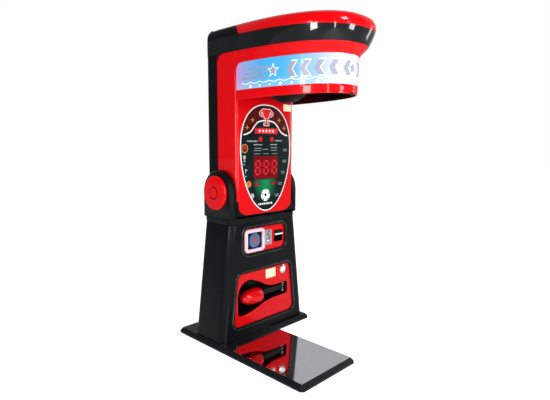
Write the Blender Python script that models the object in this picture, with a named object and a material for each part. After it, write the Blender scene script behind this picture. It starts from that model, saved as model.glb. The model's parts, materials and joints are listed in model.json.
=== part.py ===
"""Boxing and kicking strength tester: a pedestal on an L-shaped floor plate, carrying a folding head
with a swing-down punch bag. Metres, +Z up, -Y is the player's side. The origin lies on the floor under
the axis that the head folds about."""
from math import cos, pi, radians, sin, sqrt

import bmesh
import bpy
from mathutils import Vector

# ---- driving dimensions -------------------------------------------------------------------------
GAP = 0.0003            # air left between pieces that seat on each other
HEIGHT = 2.198          # top of the head
PIVOT = 1.072           # height of the axis that the head folds about
HALF = 0.283            # half width of the column
HUB = 0.157             # half depth of the column, and the radius of its heel
SKIN = 0.005            # wall of the head's shells
SIDE_SPLIT = 0.040      # where the red side meets the black back cover
NOSE = 0.697            # depth of the head's rounded front
NOSE_START = -HUB - 0.027
NOSE_POWER = 2.4        # exponent of the superellipse
NOSE_STEPS = 28

# the toe of the column, the collar that it clears and the seam under it
TOE = PIVOT - 0.162
LIP = TOE - 0.015
SEAM = LIP - 0.042

# pedestal
FRONT = -HUB + 0.007
REAR = HUB
FOOT_HALF = HALF + 0.145
SEAM_HALF = HALF + 0.047
CASING = 0.008
CORNER = 0.022

# floor plate
BASE_HALF = FOOT_HALF + 0.031
BASE_REAR = REAR + 0.161
BASE_STEP = FRONT - 0.045
TREAD_RIGHT = 0.071
TREAD_FRONT = FRONT - 0.768
BASE_TOP = 0.036
BASE_BEVEL = 0.021
BOTTOM_PLATE = 0.004
SHEET = 0.003

# height of each edge round the head, its flare beyond the column's plan, and its dip at the nose
RING_LOW = (HEIGHT - 0.494, 0.000, -0.009)
SIGN_LOW = (HEIGHT - 0.432, 0.006, 0.000)
SIGN_TOP = (HEIGHT - 0.257, 0.012, 0.000)
BAND_LOW = (HEIGHT - 0.178, 0.064, 0.021)
BAND_TOP = (HEIGHT - 0.073, 0.101, 0.040)
ROOF = ((HEIGHT - 0.043, 0.103, 0.034), (HEIGHT - 0.020, 0.094, 0.030),
        (HEIGHT - 0.007, 0.072, 0.027), (HEIGHT, 0.030, 0.025))
ROOF_FALL = 0.15        # slope of the roof's last stretch at the back
ROOF_BREAK = 0.08

PANEL = 0.004           # thickness of the front panels
DECK = BAND_LOW[0] - 0.0203

# steel frame: the side posts, the fold shaft, the shelf and the head's two plates
PIN = 0.020             # radius of the fold shaft
POST_X = (HALF + 0.0055, HALF + 0.0155)
POST_FOOT = 0.120
POST_HALF = 0.060
SHELF_Z = 0.500
SHELF = 0.006
FRAME_X = (0.088, 0.092)

# yoke
ARM_X = (HALF + 0.0035, HALF + 0.053)
CAP = 0.120

# display on the column
EGG_TOP = RING_LOW[0] - 0.018
EGG_LOW = TOE + 0.022
EGG_MIDDLE = EGG_LOW + 0.6 * (EGG_TOP - EGG_LOW)
DISPLAY_X = (-0.123, 0.115)
DISPLAY_Z = (EGG_MIDDLE - 0.220, EGG_MIDDLE - 0.059)
MODE_X = 0.057
MODE_Z = EGG_MIDDLE + 0.061

# punch bag
BAG_RADIUS = 0.120
BAG_START = 0.190       # distances from the swing axis
BAG_END = 0.485
BAG_Y = NOSE_START - NOSE + 0.181
BAG_CLEAR = 0.071       # air over the stowed bag
BAG_Z = DECK - PANEL - BAG_CLEAR - BAG_RADIUS
SHAFT = 0.012
LATCH = 0.150           # from the swing axis to the magnet that holds the stowed bag
MAGNET = 0.060

# kicker
BALL_RADIUS = 0.058
BALL_DROP = 0.010       # how far the ball hangs below its arm's middle
KICK_X = HALF - 0.063
KICK_Y = FRONT + 0.045
KICK_Z = BASE_TOP + 0.264
REACH = KICK_X + HALF - 0.017   # from the hinge to the far end of the recess
STRETCH = REACH / 0.486 # the recess, arm and ball are drawn for a reach of 0.486
ARM_END = 0.240 * STRETCH       # from the hinge to the ball's face
LINER_FLOOR = KICK_Y + BALL_RADIUS + 0.013
KICK_LOW, KICK_HIGH = KICK_Z - 0.190, KICK_Z + 0.193
KICK_HALF = (FOOT_HALF - 0.113, HALF - 0.018)
KICK_BUTTON = (HALF - 0.090, KICK_HIGH - 0.042)

# control panel: start button, coin plate and return cup
FIT = 0.0005            # radial play of small moving pieces
PANEL_Y = FRONT + CASING + GAP
OVERLAP = 0.012         # how far a panel reaches behind the casing round its window
BUTTON_TRAVEL = 0.004
START_RADIUS = 0.054
START = (-0.1085, SEAM - 0.131)
BEZEL_RIM = 0.025
BEZEL_X = (START[0] - START_RADIUS - 0.0425, START[0] + START_RADIUS + 0.0425)
BEZEL_Z = (START[1] - START_RADIUS - 0.030, START[1] + START_RADIUS + 0.030)
CONTROL_Z = (BEZEL_Z[0] - 0.006, BEZEL_Z[1] + 0.006)
COIN_X = (BEZEL_X[1] + 0.014, BEZEL_X[1] + 0.080)
COIN_Z = (START[1] - 0.052, START[1] + 0.060)
COIN_MIDDLE = 0.5 * (COIN_X[0] + COIN_X[1])
COIN_SLOT = (COIN_MIDDLE, COIN_Z[1] - 0.030)
COIN_RETURN = (COIN_MIDDLE, COIN_Z[0] + 0.026)
COIN_RETURN_BORE = 0.0085
SLOT_HALF = (0.003, 0.018)
CUP_X = (COIN_X[1] + 0.029, COIN_X[1] + 0.115)
CONTROL_X = (BEZEL_X[0] - 0.007, CUP_X[1] + 0.021)
CUP_Z = (START[1] - 0.042, START[1] + 0.045)

# back of the pedestal
DOOR_X = (-HALF + 0.083, HALF - 0.083)
DOOR_Z = (BASE_TOP + 0.114, SEAM - 0.093)
INLET = (HALF + 0.067, BASE_TOP + 0.074)

RED = (0.80, 0.004, 0.008)
BLACK = (0.012, 0.013, 0.014)
CHROME = (0.80, 0.80, 0.82)
STEEL = (0.45, 0.46, 0.48)
ZINC = (0.32, 0.33, 0.35)
BOARD = (0.02, 0.16, 0.07)


# ---- tools --------------------------------------------------------------------------------------
def clear_scene():
    for thing in list(bpy.data.objects):
        bpy.data.objects.remove(thing)


def material(name, colour, rough=0.4, metal=0.0):
    made = bpy.data.materials.new(name)
    made.use_nodes = True
    shader = made.node_tree.nodes["Principled BSDF"]
    shader.inputs["Base Color"].default_value = (*colour, 1.0)
    shader.inputs["Roughness"].default_value = rough
    shader.inputs["Metallic"].default_value = metal
    return made


def finish(name, bm, look, origin=(0, 0, 0)):
    """Turn a bmesh, drawn in world places, into an object whose own origin is the given point."""
    bmesh.ops.recalc_face_normals(bm, faces=bm.faces[:])
    bmesh.ops.translate(bm, verts=bm.verts[:], vec=-Vector(origin))
    mesh = bpy.data.meshes.new(name)
    bm.to_mesh(mesh)
    bm.free()
    mesh.shade_smooth()
    mesh.set_sharp_from_angle(angle=radians(35))
    made = bpy.data.objects.new(name, mesh)
    made.location = origin
    bpy.context.scene.collection.objects.link(made)
    if look:
        mesh.materials.append(material(name, *look))
    else:
        made.hide_render = True
        made.display_type = "WIRE"
    return made


def ladder(bm, row, front):
    """Fill a loop that mirrors across x with rungs, so that a surface bent in y and z stays true."""
    for step in range(len(row) // 2):
        a, b = row[front - step], row[(front + step) % len(row)]
        c, d = row[(front + step + 1) % len(row)], row[front - step - 1]
        bm.faces.new([a, b, c, d] if a is not b else [a, c, d])


def loft(name, loops, look, closed=False, origin=(0, 0, 0), front=None):
    """A skin over loops of equal length, with filled ends, or bent round to meet its own start."""
    bm = bmesh.new()
    rows = [[bm.verts.new(p) for p in loop] for loop in loops]
    pairs = list(zip(rows, rows[1:]))
    if closed:
        pairs.append((rows[-1], rows[0]))
    elif front is None:
        bm.faces.new(rows[0])
        bm.faces.new(rows[-1][::-1])
    else:
        ladder(bm, rows[0], front)
        ladder(bm, rows[-1], front)
    for low, high in pairs:
        for i in range(len(low)):
            j = (i + 1) % len(low)
            bm.faces.new((low[i], low[j], high[j], high[i]))
    return finish(name, bm, look, origin)


def lift(points, axis, at):
    """Flat points placed across an axis: (y, z) for X, (x, z) for Y and (x, y) for Z."""
    if axis == "X":
        return [(at, a, b) for a, b in points]
    if axis == "Y":
        return [(a, at, b) for a, b in points]
    return [(a, b, at) for a, b in points]


def prism(name, outline, axis, low, high, look, origin=(0, 0, 0)):
    return loft(name, [lift(outline, axis, low), lift(outline, axis, high)], look, origin=origin)


def box(name, x, y, z, look, origin=(0, 0, 0)):
    outline = [(x[0], y[0]), (x[1], y[0]), (x[1], y[1]), (x[0], y[1])]
    return prism(name, outline, "Z", z[0], z[1], look, origin)


def arc(centre, radius, start, end, steps=6):
    turn = (end - start) / steps
    angles = [radians(start + turn * i) for i in range(steps + 1)]
    return [(centre[0] + radius * cos(a), centre[1] + radius * sin(a)) for a in angles]


def turned(name, centre, axis, profile, look, bored=False, sides=24, origin=(0, 0, 0)):
    """A turned piece: (radius, distance along the axis) pairs about an axis through the centre."""
    across = {"X": (centre[1], centre[2]), "Y": (centre[0], centre[2]), "Z": (centre[0], centre[1])}[axis]
    along = centre["XYZ".index(axis)]
    loops = [lift(arc(across, r, 0, 360 * (1 - 1 / sides), sides - 1), axis, along + h) for r, h in profile]
    return loft(name, loops, look, bored, origin)


def offset(points, inward, closed=True):
    """Points moved to the left of their path, which is inwards on an anticlockwise outline."""
    count = len(points)
    moved = []
    for i, (x, y) in enumerate(points):
        before = points[i - 1] if closed or i else None
        after = points[(i + 1) % count] if closed or i < count - 1 else None
        normals = []
        for a, b in ((before, (x, y)), ((x, y), after)):
            if a is None or b is None:
                continue
            dx, dy = b[0] - a[0], b[1] - a[1]
            size = sqrt(dx * dx + dy * dy)
            normals.append((-dy / size, dx / size))
        nx = sum(n[0] for n in normals) / len(normals)
        ny = sum(n[1] for n in normals) / len(normals)
        spread = nx * nx + ny * ny
        moved.append((x + inward * nx / spread, y + inward * ny / spread))
    return moved


def rounded(x, y, radius, steps=5):
    """An anticlockwise rectangle with round corners."""
    return (arc((x[0] + radius, y[0] + radius), radius, 180, 270, steps)
            + arc((x[1] - radius, y[0] + radius), radius, 270, 360, steps)
            + arc((x[1] - radius, y[1] - radius), radius, 0, 90, steps)
            + arc((x[0] + radius, y[1] - radius), radius, 90, 180, steps))


def cup(name, outline, axis, mouth, floor, wall, look, bevel=0.0, origin=(0, 0, 0)):
    """A shell open at its mouth, with an optional bevel round its floor."""
    way = 1 if floor > mouth else -1
    inner = offset(outline, wall)
    if bevel:
        slope = wall * 0.4
        inside = [lift(offset(outline, bevel + slope), axis, floor - way * wall),
                  lift(inner, axis, floor - way * (bevel + slope))]
        outside = [lift(outline, axis, floor - way * bevel), lift(offset(outline, bevel), axis, floor)]
    else:
        inside = [lift(inner, axis, floor - way * wall)]
        outside = [lift(outline, axis, floor)]
    rim = [lift(inner, axis, mouth), lift(outline, axis, mouth)]
    return loft(name, inside + rim + outside, look, origin=origin)


def cut(piece, cutter, operation="DIFFERENCE"):
    """Boolean a hidden helper out of a piece, or onto it."""
    step = piece.modifiers.new(cutter.name, "BOOLEAN")
    step.operation = operation
    step.solver = "EXACT"
    step.object = cutter
    cutter.parent = piece
    cutter.matrix_parent_inverse = piece.matrix_basis.inverted()
    return piece


def weld(piece, *others):
    for other in others:
        cut(piece, other, "UNION")
    return piece


# ---- floor plate --------------------------------------------------------------------------------
def base_outline():
    corner = 0.020
    left, right = -BASE_HALF, BASE_HALF
    return [(left, BASE_REAR - corner), (left, TREAD_FRONT + corner), (left + corner, TREAD_FRONT),
            (TREAD_RIGHT - corner, TREAD_FRONT), (TREAD_RIGHT, TREAD_FRONT + corner),
            (TREAD_RIGHT, BASE_STEP), (right - corner, BASE_STEP), (right, BASE_STEP + corner),
            (right, BASE_REAR - corner), (right - corner, BASE_REAR), (left + corner, BASE_REAR)]


def base():
    outline = base_outline()
    prism("base_bottom_plate", offset(outline, 0.0005), "Z", 0, BOTTOM_PLATE, (ZINC, 0.5, 1.0))
    cup("base_tray", outline, "Z", BOTTOM_PLATE + GAP, BASE_TOP, SHEET, (BLACK, 0.5), BASE_BEVEL)
    low = BASE_TOP + GAP
    edge = BASE_BEVEL + 0.003
    sheet = [(-BASE_HALF + edge, TREAD_FRONT + edge), (TREAD_RIGHT - edge, TREAD_FRONT + edge),
             (TREAD_RIGHT - edge, FRONT - GAP), (-BASE_HALF + edge, FRONT - GAP)]
    prism("tread_plate", sheet, "Z", low, low + 0.002, (CHROME, 0.08, 1.0))


# ---- pedestal -----------------------------------------------------------------------------------
def half_at(z):
    """Half width of the tapered pedestal at a height."""
    return FOOT_HALF + (SEAM_HALF - FOOT_HALF) * (z - BASE_TOP) / (SEAM - BASE_TOP)


def trapezium(low, high, low_half, high_half, radius):
    """An anticlockwise trapezium in (x, z) with its corners rounded."""
    corners = [(-low_half, low), (low_half, low), (high_half, high), (-high_half, high)]
    points = []
    for i, here in enumerate(corners):
        before = Vector(corners[i - 1]) - Vector(here)
        after = Vector(corners[(i + 1) % 4]) - Vector(here)
        start = Vector(here) + before.normalized() * radius
        end = Vector(here) + after.normalized() * radius
        for step in range(7):
            t = step / 6
            bend = start * (1 - t) ** 2 + 2 * Vector(here) * t * (1 - t) + end * t * t
            points.append(tuple(bend))
    return points


def pedestal_casing():
    loops = []
    for z, inset in ((BASE_TOP + GAP, 0), (SEAM, 0), (SEAM, CASING), (BASE_TOP + GAP, CASING)):
        plan = rounded((-half_at(z), half_at(z)), (FRONT, REAR), CORNER)
        loops.append(lift(offset(plan, inset), "Z", z))
    casing = loft("pedestal_casing", loops, (BLACK, 0.35), closed=True)
    span = (FRONT - CASING, FRONT + 2 * CASING)
    cut(casing, prism("cut_kick", trapezium(KICK_LOW, KICK_HIGH, *KICK_HALF, 0.045), "Y", *span, None))
    cut(casing, prism("cut_control", rounded(CONTROL_X, CONTROL_Z, 0.04), "Y", *span, None))
    cut(casing, box("cut_door", DOOR_X, (REAR - 2 * CASING, REAR + CASING), DOOR_Z, None))
    hole = ((INLET[0] - 0.025, INLET[0] + 0.025), (REAR - 2 * CASING, REAR + CASING),
            (INLET[1] - 0.016, INLET[1] + 0.016))
    cut(casing, box("cut_inlet", *hole, None))


def posts():
    """Two plates that stand on the floor plate, wide at the foot, and carry the fold shaft."""
    foot = BASE_TOP + GAP
    outline = ([(-POST_FOOT, foot), (POST_FOOT, foot), (POST_FOOT, 0.150), (POST_HALF, 0.300)]
               + arc((0, PIVOT), POST_HALF, 0, 180, 12) + [(-POST_HALF, 0.300), (-POST_FOOT, 0.150)])
    for side, sign in (("left", -1), ("right", 1)):
        post = prism("side_post_" + side, outline, "X", sign * POST_X[0], sign * POST_X[1], (ZINC, 0.5, 1.0))
        bore = turned("cut_post_" + side, (sign * POST_X[0], 0, PIVOT), "X",
                      [(PIN + GAP, -0.03), (PIN + GAP, 0.03)], None)
        cut(post, bore)
    edge = POST_X[0] - GAP
    box("frame_shelf", (-edge, edge), (-0.020, 0.130), (SHELF_Z, SHELF_Z + SHELF), (ZINC, 0.5, 1.0))


def pivot():
    end, chamfer = POST_X[1] + 0.012, 0.003
    shaft = [(PIN - chamfer, -end), (PIN, -end + chamfer), (PIN, end - chamfer), (PIN - chamfer, end)]
    turned("pivot_shaft", (0, 0, PIVOT), "X", shaft, (STEEL, 0.3, 1.0))


def yoke():
    loops = []
    for z, inset in ((SEAM + GAP, 0), (LIP, 0), (LIP, 0.006), (SEAM + GAP, 0.006)):
        half = SEAM_HALF + 0.10 * (z - SEAM)
        loops.append(lift(offset(rounded((-half, half), (FRONT, REAR), CORNER), inset), "Z", z))
    collar = loft("yoke_collar", loops, (BLACK, 0.35), closed=True)
    # the toe swings through here, so the back of the collar is lower
    cut(collar, box("cut_collar", (-HALF + 0.008, HALF - 0.008), (REAR - 0.05, REAR + 0.04),
                    (LIP - 0.015, LIP + 0.055), None))
    bottom = LIP + GAP
    outline = ([(FRONT - 0.001, bottom), (REAR, bottom)] + arc((0, PIVOT), HUB, 0, 180, 24)
               + [(FRONT - 0.001, PIVOT - 0.06)])
    for side, sign in (("left", -1), ("right", 1)):
        arm = cup("yoke_arm_" + side, outline, "X", sign * ARM_X[0], sign * ARM_X[1], 0.005,
                  (BLACK, 0.35), 0.012)
        # the post comes up through here
        slot = sorted((sign * (ARM_X[0] - 0.010), sign * (POST_X[1] + 0.001)))
        cut(arm, box("cut_arm_" + side, slot, (-0.062, 0.062), (LIP - 0.010, LIP + 0.010), None))
        face = sign * (ARM_X[1] + GAP)
        dome = [(0.040, 0.016), (0.090, 0.012), (0.108, 0.006), (0.111, 0.0), (0.117, 0.0), (CAP, 0.004),
                (0.116, 0.014), (0.090, 0.021), (0.060, 0.0245), (0.046, 0.0255), (0.0445, 0.0195),
                (0.0405, 0.0195), (0.039, 0.0265), (0.030, 0.028), (0.010, 0.0285)]
        turned("hub_cap_" + side, (face, 0, PIVOT), "X", [(r, sign * h) for r, h in dome],
               (RED, 0.12), sides=28)


# ---- kicker -------------------------------------------------------------------------------------
def smooth(points, steps=3):
    """A closed curve through hand-placed points."""
    count = len(points)
    curve = []
    for i in range(count):
        p = [Vector(points[(i + k) % count]) for k in (-1, 0, 1, 2)]
        for step in range(steps):
            t = step / steps
            curve.append(tuple(0.5 * (2 * p[1] + (p[2] - p[0]) * t
                                      + (2 * p[0] - 5 * p[1] + 4 * p[2] - p[3]) * t * t
                                      + (3 * p[1] - p[0] - 3 * p[2] + p[3]) * t ** 3)))
    return curve


def recess_outline():
    """The recess seen from the front: a bowl for the ball at the left and a slot for its arm.
    Its points are set out from the kicker's hinge."""
    points = [(-0.486, -0.040), (-0.482, -0.095), (-0.460, -0.118), (-0.370, -0.110), (-0.280, -0.088),
              (-0.210, -0.064), (-0.120, -0.054), (-0.020, -0.052), (0.023, -0.044), (0.026, 0.000),
              (0.023, 0.042), (-0.020, 0.050), (-0.120, 0.046), (-0.203, 0.066), (-0.285, 0.108),
              (-0.375, 0.138), (-0.450, 0.110), (-0.482, 0.050)]
    return smooth([(KICK_X + x * STRETCH, KICK_Z + z) for x, z in points])


def kicker():
    back = PANEL_Y + PANEL
    outline = offset(trapezium(KICK_LOW, KICK_HIGH, *KICK_HALF, 0.045), -OVERLAP)
    panel = prism("kicker_panel", outline, "Y", PANEL_Y, back, (RED, 0.15))
    span = (PANEL_Y - 0.01, back + 0.01)
    cut(panel, prism("cut_recess", recess_outline(), "Y", *span, None))
    bore = turned("cut_kick_button", (KICK_BUTTON[0], 0, KICK_BUTTON[1]), "Y",
                  [(0.0225, span[0]), (0.0225, span[1])], None)
    cut(panel, bore)
    outer = offset(recess_outline(), -0.0035)
    cup("kicker_recess_liner", outer, "Y", back + GAP, LINER_FLOOR + 0.003, 0.003, (BLACK, 0.6))

    ear, half = 0.006, 0.030
    low, high = KICK_Z - half - GAP, KICK_Z + half + GAP
    wall = LINER_FLOOR - GAP
    bracket = [(wall, low - ear), (wall, high + ear), (KICK_Y - 0.016, high + ear), (KICK_Y - 0.016, high),
               (wall - ear, high), (wall - ear, low), (KICK_Y - 0.016, low), (KICK_Y - 0.016, low - ear)]
    piece = prism("kicker_bracket", bracket, "X", KICK_X - 0.016, KICK_X + 0.016, (STEEL, 0.35, 1.0))
    pin = 0.006
    hole = turned("cut_bracket", (KICK_X, KICK_Y, KICK_Z), "Z", [(pin + GAP, -0.05), (pin + GAP, 0.05)], None)
    cut(piece, hole)
    turned("kicker_pin", (KICK_X, KICK_Y, KICK_Z), "Z", [(pin, -0.0385), (pin, 0.0385)], (STEEL, 0.3, 1.0))

    hinge = (KICK_X, KICK_Y, KICK_Z)
    knuckle = turned("kicker_arm", hinge, "Z",
                     [(pin + GAP, -half), (0.015, -half), (0.015, half), (pin + GAP, half)],
                     (BLACK, 0.45), bored=True, origin=hinge)
    end = KICK_X - ARM_END
    bar = box("add_bar", (end, KICK_X - 0.010), (KICK_Y - 0.011, KICK_Y + 0.011),
              (KICK_Z - 0.020, KICK_Z + 0.020), None)
    plate = turned("add_plate", (end, KICK_Y, KICK_Z), "X", [(0.034, 0.0), (0.034, 0.006)], None)
    weld(knuckle, bar, plate)
    ball = [(BALL_RADIUS - 0.010, 0.0), (BALL_RADIUS - 0.004, -0.006), (BALL_RADIUS, -0.030),
            (BALL_RADIUS, -0.070), (BALL_RADIUS - 0.004, -0.110), (BALL_RADIUS - 0.014, -0.146),
            (BALL_RADIUS - 0.030, -0.174), (BALL_RADIUS - 0.050, -0.187)]
    turned("kicker_ball", (end - GAP, KICK_Y, KICK_Z - BALL_DROP), "X", [(r, h * STRETCH) for r, h in ball],
           (RED, 0.12), origin=hinge)

    front = PANEL_Y - GAP
    bezel = [(0.0205, 0.0), (0.035, 0.0), (0.034, -0.005), (0.026, -0.008), (0.0205, -0.006)]
    turned("kick_button_bezel", (KICK_BUTTON[0], front, KICK_BUTTON[1]), "Y", bezel, (CHROME, 0.12, 1.0),
           bored=True)
    place = (KICK_BUTTON[0], front, KICK_BUTTON[1])
    button = [(0.020, 0.022), (0.020, -0.008), (0.017, -0.0105), (0.008, -0.012)]
    turned("kick_button", place, "Y", button, ((0.9, 0.9, 0.9), 0.2), origin=place)


# ---- control panel ------------------------------------------------------------------------------
def coin_slot(span):
    """The slot's box over a stretch of y."""
    return ((COIN_SLOT[0] - SLOT_HALF[0], COIN_SLOT[0] + SLOT_HALF[0]), span,
            (COIN_SLOT[1] - SLOT_HALF[1], COIN_SLOT[1] + SLOT_HALF[1]))


def control_panel():
    back = PANEL_Y + PANEL
    span = (PANEL_Y - 0.03, back + 0.01)
    outline = offset(rounded(CONTROL_X, CONTROL_Z, 0.04), -OVERLAP)
    panel = prism("control_panel", outline, "Y", PANEL_Y, back, (RED, 0.15))
    cut(panel, turned("cut_start", (START[0], 0, START[1]), "Y",
                      [(0.030, span[0]), (0.030, span[1])], None))
    slot = coin_slot(span)
    cut(panel, box("cut_slot", *slot, None))
    bore = [(COIN_RETURN_BORE, span[0]), (COIN_RETURN_BORE, span[1])]
    cut(panel, turned("cut_return", (COIN_RETURN[0], 0, COIN_RETURN[1]), "Y", bore, None))
    mouth = rounded(CUP_X, CUP_Z, 0.008, 3)
    cut(panel, prism("cut_cup", mouth, "Y", *span, None))

    front = PANEL_Y - GAP
    rim = rounded(BEZEL_X, BEZEL_Z, 0.032)
    hole = offset(rim, BEZEL_RIM)
    face = front - 0.020
    loops = [lift(rim, "Y", front), lift(rim, "Y", face + 0.006), lift(offset(rim, 0.006), "Y", face),
             lift(offset(rim, BEZEL_RIM - 0.005), "Y", face), lift(hole, "Y", face + 0.005),
             lift(hole, "Y", front)]
    loft("start_bezel", loops, ((0.85, 0.75, 0.78), 0.2), closed=True)
    plate = prism("start_plate", offset(hole, GAP), "Y", front, front - 0.006, (BLACK, 0.3))
    cut(plate, turned("cut_plate", (START[0], 0, START[1]), "Y",
                      [(START_RADIUS + FIT, span[0]), (START_RADIUS + FIT, span[1])], None, sides=28))
    place = (START[0], front, START[1])
    button = [(0.029, 0.020), (0.029, -BUTTON_TRAVEL - FIT), (START_RADIUS, -BUTTON_TRAVEL - FIT),
              (START_RADIUS, -0.011), (START_RADIUS - 0.006, -0.014), (0.015, -0.016)]
    turned("start_button", place, "Y", button, ((0.05, 0.16, 0.45), 0.15), sides=28, origin=place)

    face = rounded(COIN_X, COIN_Z, 0.006, 3)
    plate = prism("coin_plate", face, "Y", front, front - 0.004, (CHROME, 0.12, 1.0))
    cut(plate, box("cut_plate_slot", *slot, None))
    cut(plate, turned("cut_plate_return", (COIN_RETURN[0], 0, COIN_RETURN[1]), "Y", bore, None))
    place = (COIN_RETURN[0], front, COIN_RETURN[1])
    turned("coin_return_button", place, "Y", [(0.008, 0.012), (0.008, -0.009), (0.006, -0.011)],
           (CHROME, 0.2, 1.0), sides=20, origin=place)

    cup("return_cup", offset(mouth, GAP), "Y", front - 0.006, back + 0.045, 0.002, (BLACK, 0.4))
    hinge = (0.5 * (CUP_X[0] + CUP_X[1]), front - 0.001, CUP_Z[1] - 0.0105)
    reach = 0.5 * (CUP_X[1] - CUP_X[0]) - 0.002 - 2 * GAP
    half = reach - 0.0015
    rod = [(0.002, -reach), (0.002, reach)]
    flap = turned("return_flap", hinge, "X", rod, (CHROME, 0.15, 1.0), sides=12, origin=hinge)
    leaf = box("add_leaf", (hinge[0] - half, hinge[0] + half), (hinge[1] - 0.001, hinge[1] + 0.001),
               (hinge[2] - 0.024, hinge[2]), None)
    lip = box("add_lip", (hinge[0] - half, hinge[0] + half), (hinge[1] - 0.014, hinge[1] + 0.001),
              (hinge[2] - 0.024, hinge[2] - 0.021), None)
    weld(flap, leaf, lip)


# ---- inside the pedestal ------------------------------------------------------------------------
def works():
    back = PANEL_Y + PANEL + GAP
    mechanism = box("coin_mechanism", (COIN_X[0] + 0.002, COIN_X[1] - 0.002), (back, back + 0.107),
                    (COIN_Z[0] - 0.070, COIN_Z[1] + 0.008), (ZINC, 0.4, 1.0))
    cut(mechanism, box("cut_chute", *coin_slot((back - 0.01, back + 0.03)), None))
    cut(mechanism, turned("cut_return_space", (COIN_RETURN[0], back, COIN_RETURN[1]), "Y",
                          [(0.009, -0.01), (0.009, 0.02)], None))
    shelf = SHELF_Z + SHELF + GAP
    cup("cash_box", rounded((-0.060, 0.110), (-0.015, 0.110), 0.006, 2), "Z", shelf + 0.075, shelf, 0.0015,
        (STEEL, 0.5, 1.0))
    low = BASE_TOP + GAP
    edge = POST_X[0] - GAP
    box("power_supply", (-edge + 0.028, -edge + 0.228), (-0.010, 0.110), (low, low + 0.065),
        (ZINC, 0.45, 1.0))
    box("main_board", (-edge, -edge + 0.002), (-0.050, 0.058), (shelf, shelf + 0.200), (BOARD, 0.5))
    x, z = INLET
    wide, high = 0.0245, 0.0155
    small = [(x - wide, z - high), (x + wide, z - high), (x + wide, z + high), (x - wide, z + high)]
    large = offset(small, -0.006)
    face = REAR + GAP
    loops = [lift(small, "Y", REAR - 0.04), lift(small, "Y", face), lift(large, "Y", face),
             lift(large, "Y", face + 0.003)]
    loft("power_inlet", loops, (BLACK, 0.5))


def service_door():
    pin, tube, play = 0.003, 0.0055, 0.0015
    hinge = (DOOR_X[0], REAR + tube + 3 * GAP, 0.5 * (DOOR_Z[0] + DOOR_Z[1]))
    reach = 0.5 * (DOOR_Z[1] - DOOR_Z[0]) - 0.02
    leaf = ((DOOR_X[0] + play, DOOR_X[1] - play), (REAR - 0.005, REAR), (DOOR_Z[0] + play, DOOR_Z[1] - play))
    door = box("service_door", *leaf, (BLACK, 0.45), origin=hinge)
    knuckle = turned("add_knuckle", hinge, "Z",
                     [(pin + GAP, -reach), (tube, -reach), (tube, reach), (pin + GAP, reach)], None,
                     bored=True, sides=16)
    strap = box("add_strap", (hinge[0] + 0.0042, hinge[0] + 0.020), (REAR - 0.002, hinge[1] + 0.003),
                (hinge[2] - reach, hinge[2] + reach), None)
    weld(door, knuckle, strap)
    disc = tube + 2 * GAP
    ends = [(disc, -reach - 0.006), (disc, -reach - GAP), (pin, -reach - GAP), (pin, reach + GAP),
            (disc, reach + GAP), (disc, reach + 0.006)]
    turned("door_hinge_pin", hinge, "Z", ends, (STEEL, 0.35, 1.0), sides=16)

    lock = (DOOR_X[1] - 0.022, REAR, hinge[2])
    cut(door, turned("cut_lock", lock, "Y", [(0.0095, -0.02), (0.0095, 0.02)], None, sides=20))
    barrel = turned("lock_barrel", lock, "Y", [(0.009, -0.017), (0.009, 0.0005), (0.0125, 0.0005),
                                               (0.0125, 0.004), (0.010, 0.005)], (CHROME, 0.2, 1.0),
                    sides=20, origin=lock)
    cam = box("add_cam", (lock[0] - 0.008, lock[0] + 0.008), (REAR - 0.016, REAR - 0.013),
              (lock[2] - 0.042, lock[2] + 0.008), None)
    weld(barrel, cam)


# ---- head ---------------------------------------------------------------------------------------
def nose(flare, steps=NOSE_STEPS):
    """The head's plan from its rear left, round the front, to its rear right."""
    points = []
    for i in range(steps + 1):
        turn = pi * i / steps
        wide = abs(cos(turn)) ** (2 / NOSE_POWER)
        deep = sin(turn) ** (2 / NOSE_POWER) if 0 < i < steps else 0.0
        side = -1 if i < steps / 2 else 1
        points.append((side * wide * (HALF + flare * deep), NOSE_START - (NOSE + flare) * deep))
    return points


def head_plan(flare, steps=NOSE_STEPS):
    """The whole closed plan, with the column's rounded back corners."""
    radius = 0.020
    return (nose(flare, steps) + arc((HALF - radius, REAR - radius), radius, 0, 90, 3)
            + arc((-HALF + radius, REAR - radius), radius, 90, 180, 3))


def edge_height(level, y, lower=0.0):
    """Height of a band's edge: level round the back, dipping evenly towards the nose."""
    return level[0] - level[2] * max(0.0, NOSE_START - y) / NOSE - lower


def horseshoe(name, low, high, thick, look, tail=-HUB - GAP):
    """A band of the head that runs round the nose and ends at the column."""
    def edge(level, lower):
        outer = nose(level[1])
        outer = [(outer[0][0], tail)] + outer + [(outer[-1][0], tail)]
        inner = offset(outer, thick, closed=False)
        return [[(x, y, edge_height(level, y, lower)) for x, y in line] for line in (outer, inner)]
    low_out, low_in = edge(low, 0.0)
    high_out, high_in = edge(high, GAP)
    return loft(name, list(zip(low_out, high_out, high_in, low_in)), look)


def shade_ring(low, high, thick):
    loops = []
    for level, inset, lower in ((low, 0, 0), (high, 0, GAP), (high, thick, GAP), (low, thick, 0)):
        line = offset(head_plan(level[1]), inset)
        loops.append([(x, y, edge_height(level, y, lower)) for x, y in line])
    return loops


def roof_height(level, y):
    """The roof falls a little over its last stretch at the back."""
    share = (level[0] - BAND_TOP[0]) / (HEIGHT - BAND_TOP[0])
    return edge_height(level, y) - max(0.0, y - ROOF_BREAK) * ROOF_FALL * share


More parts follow.
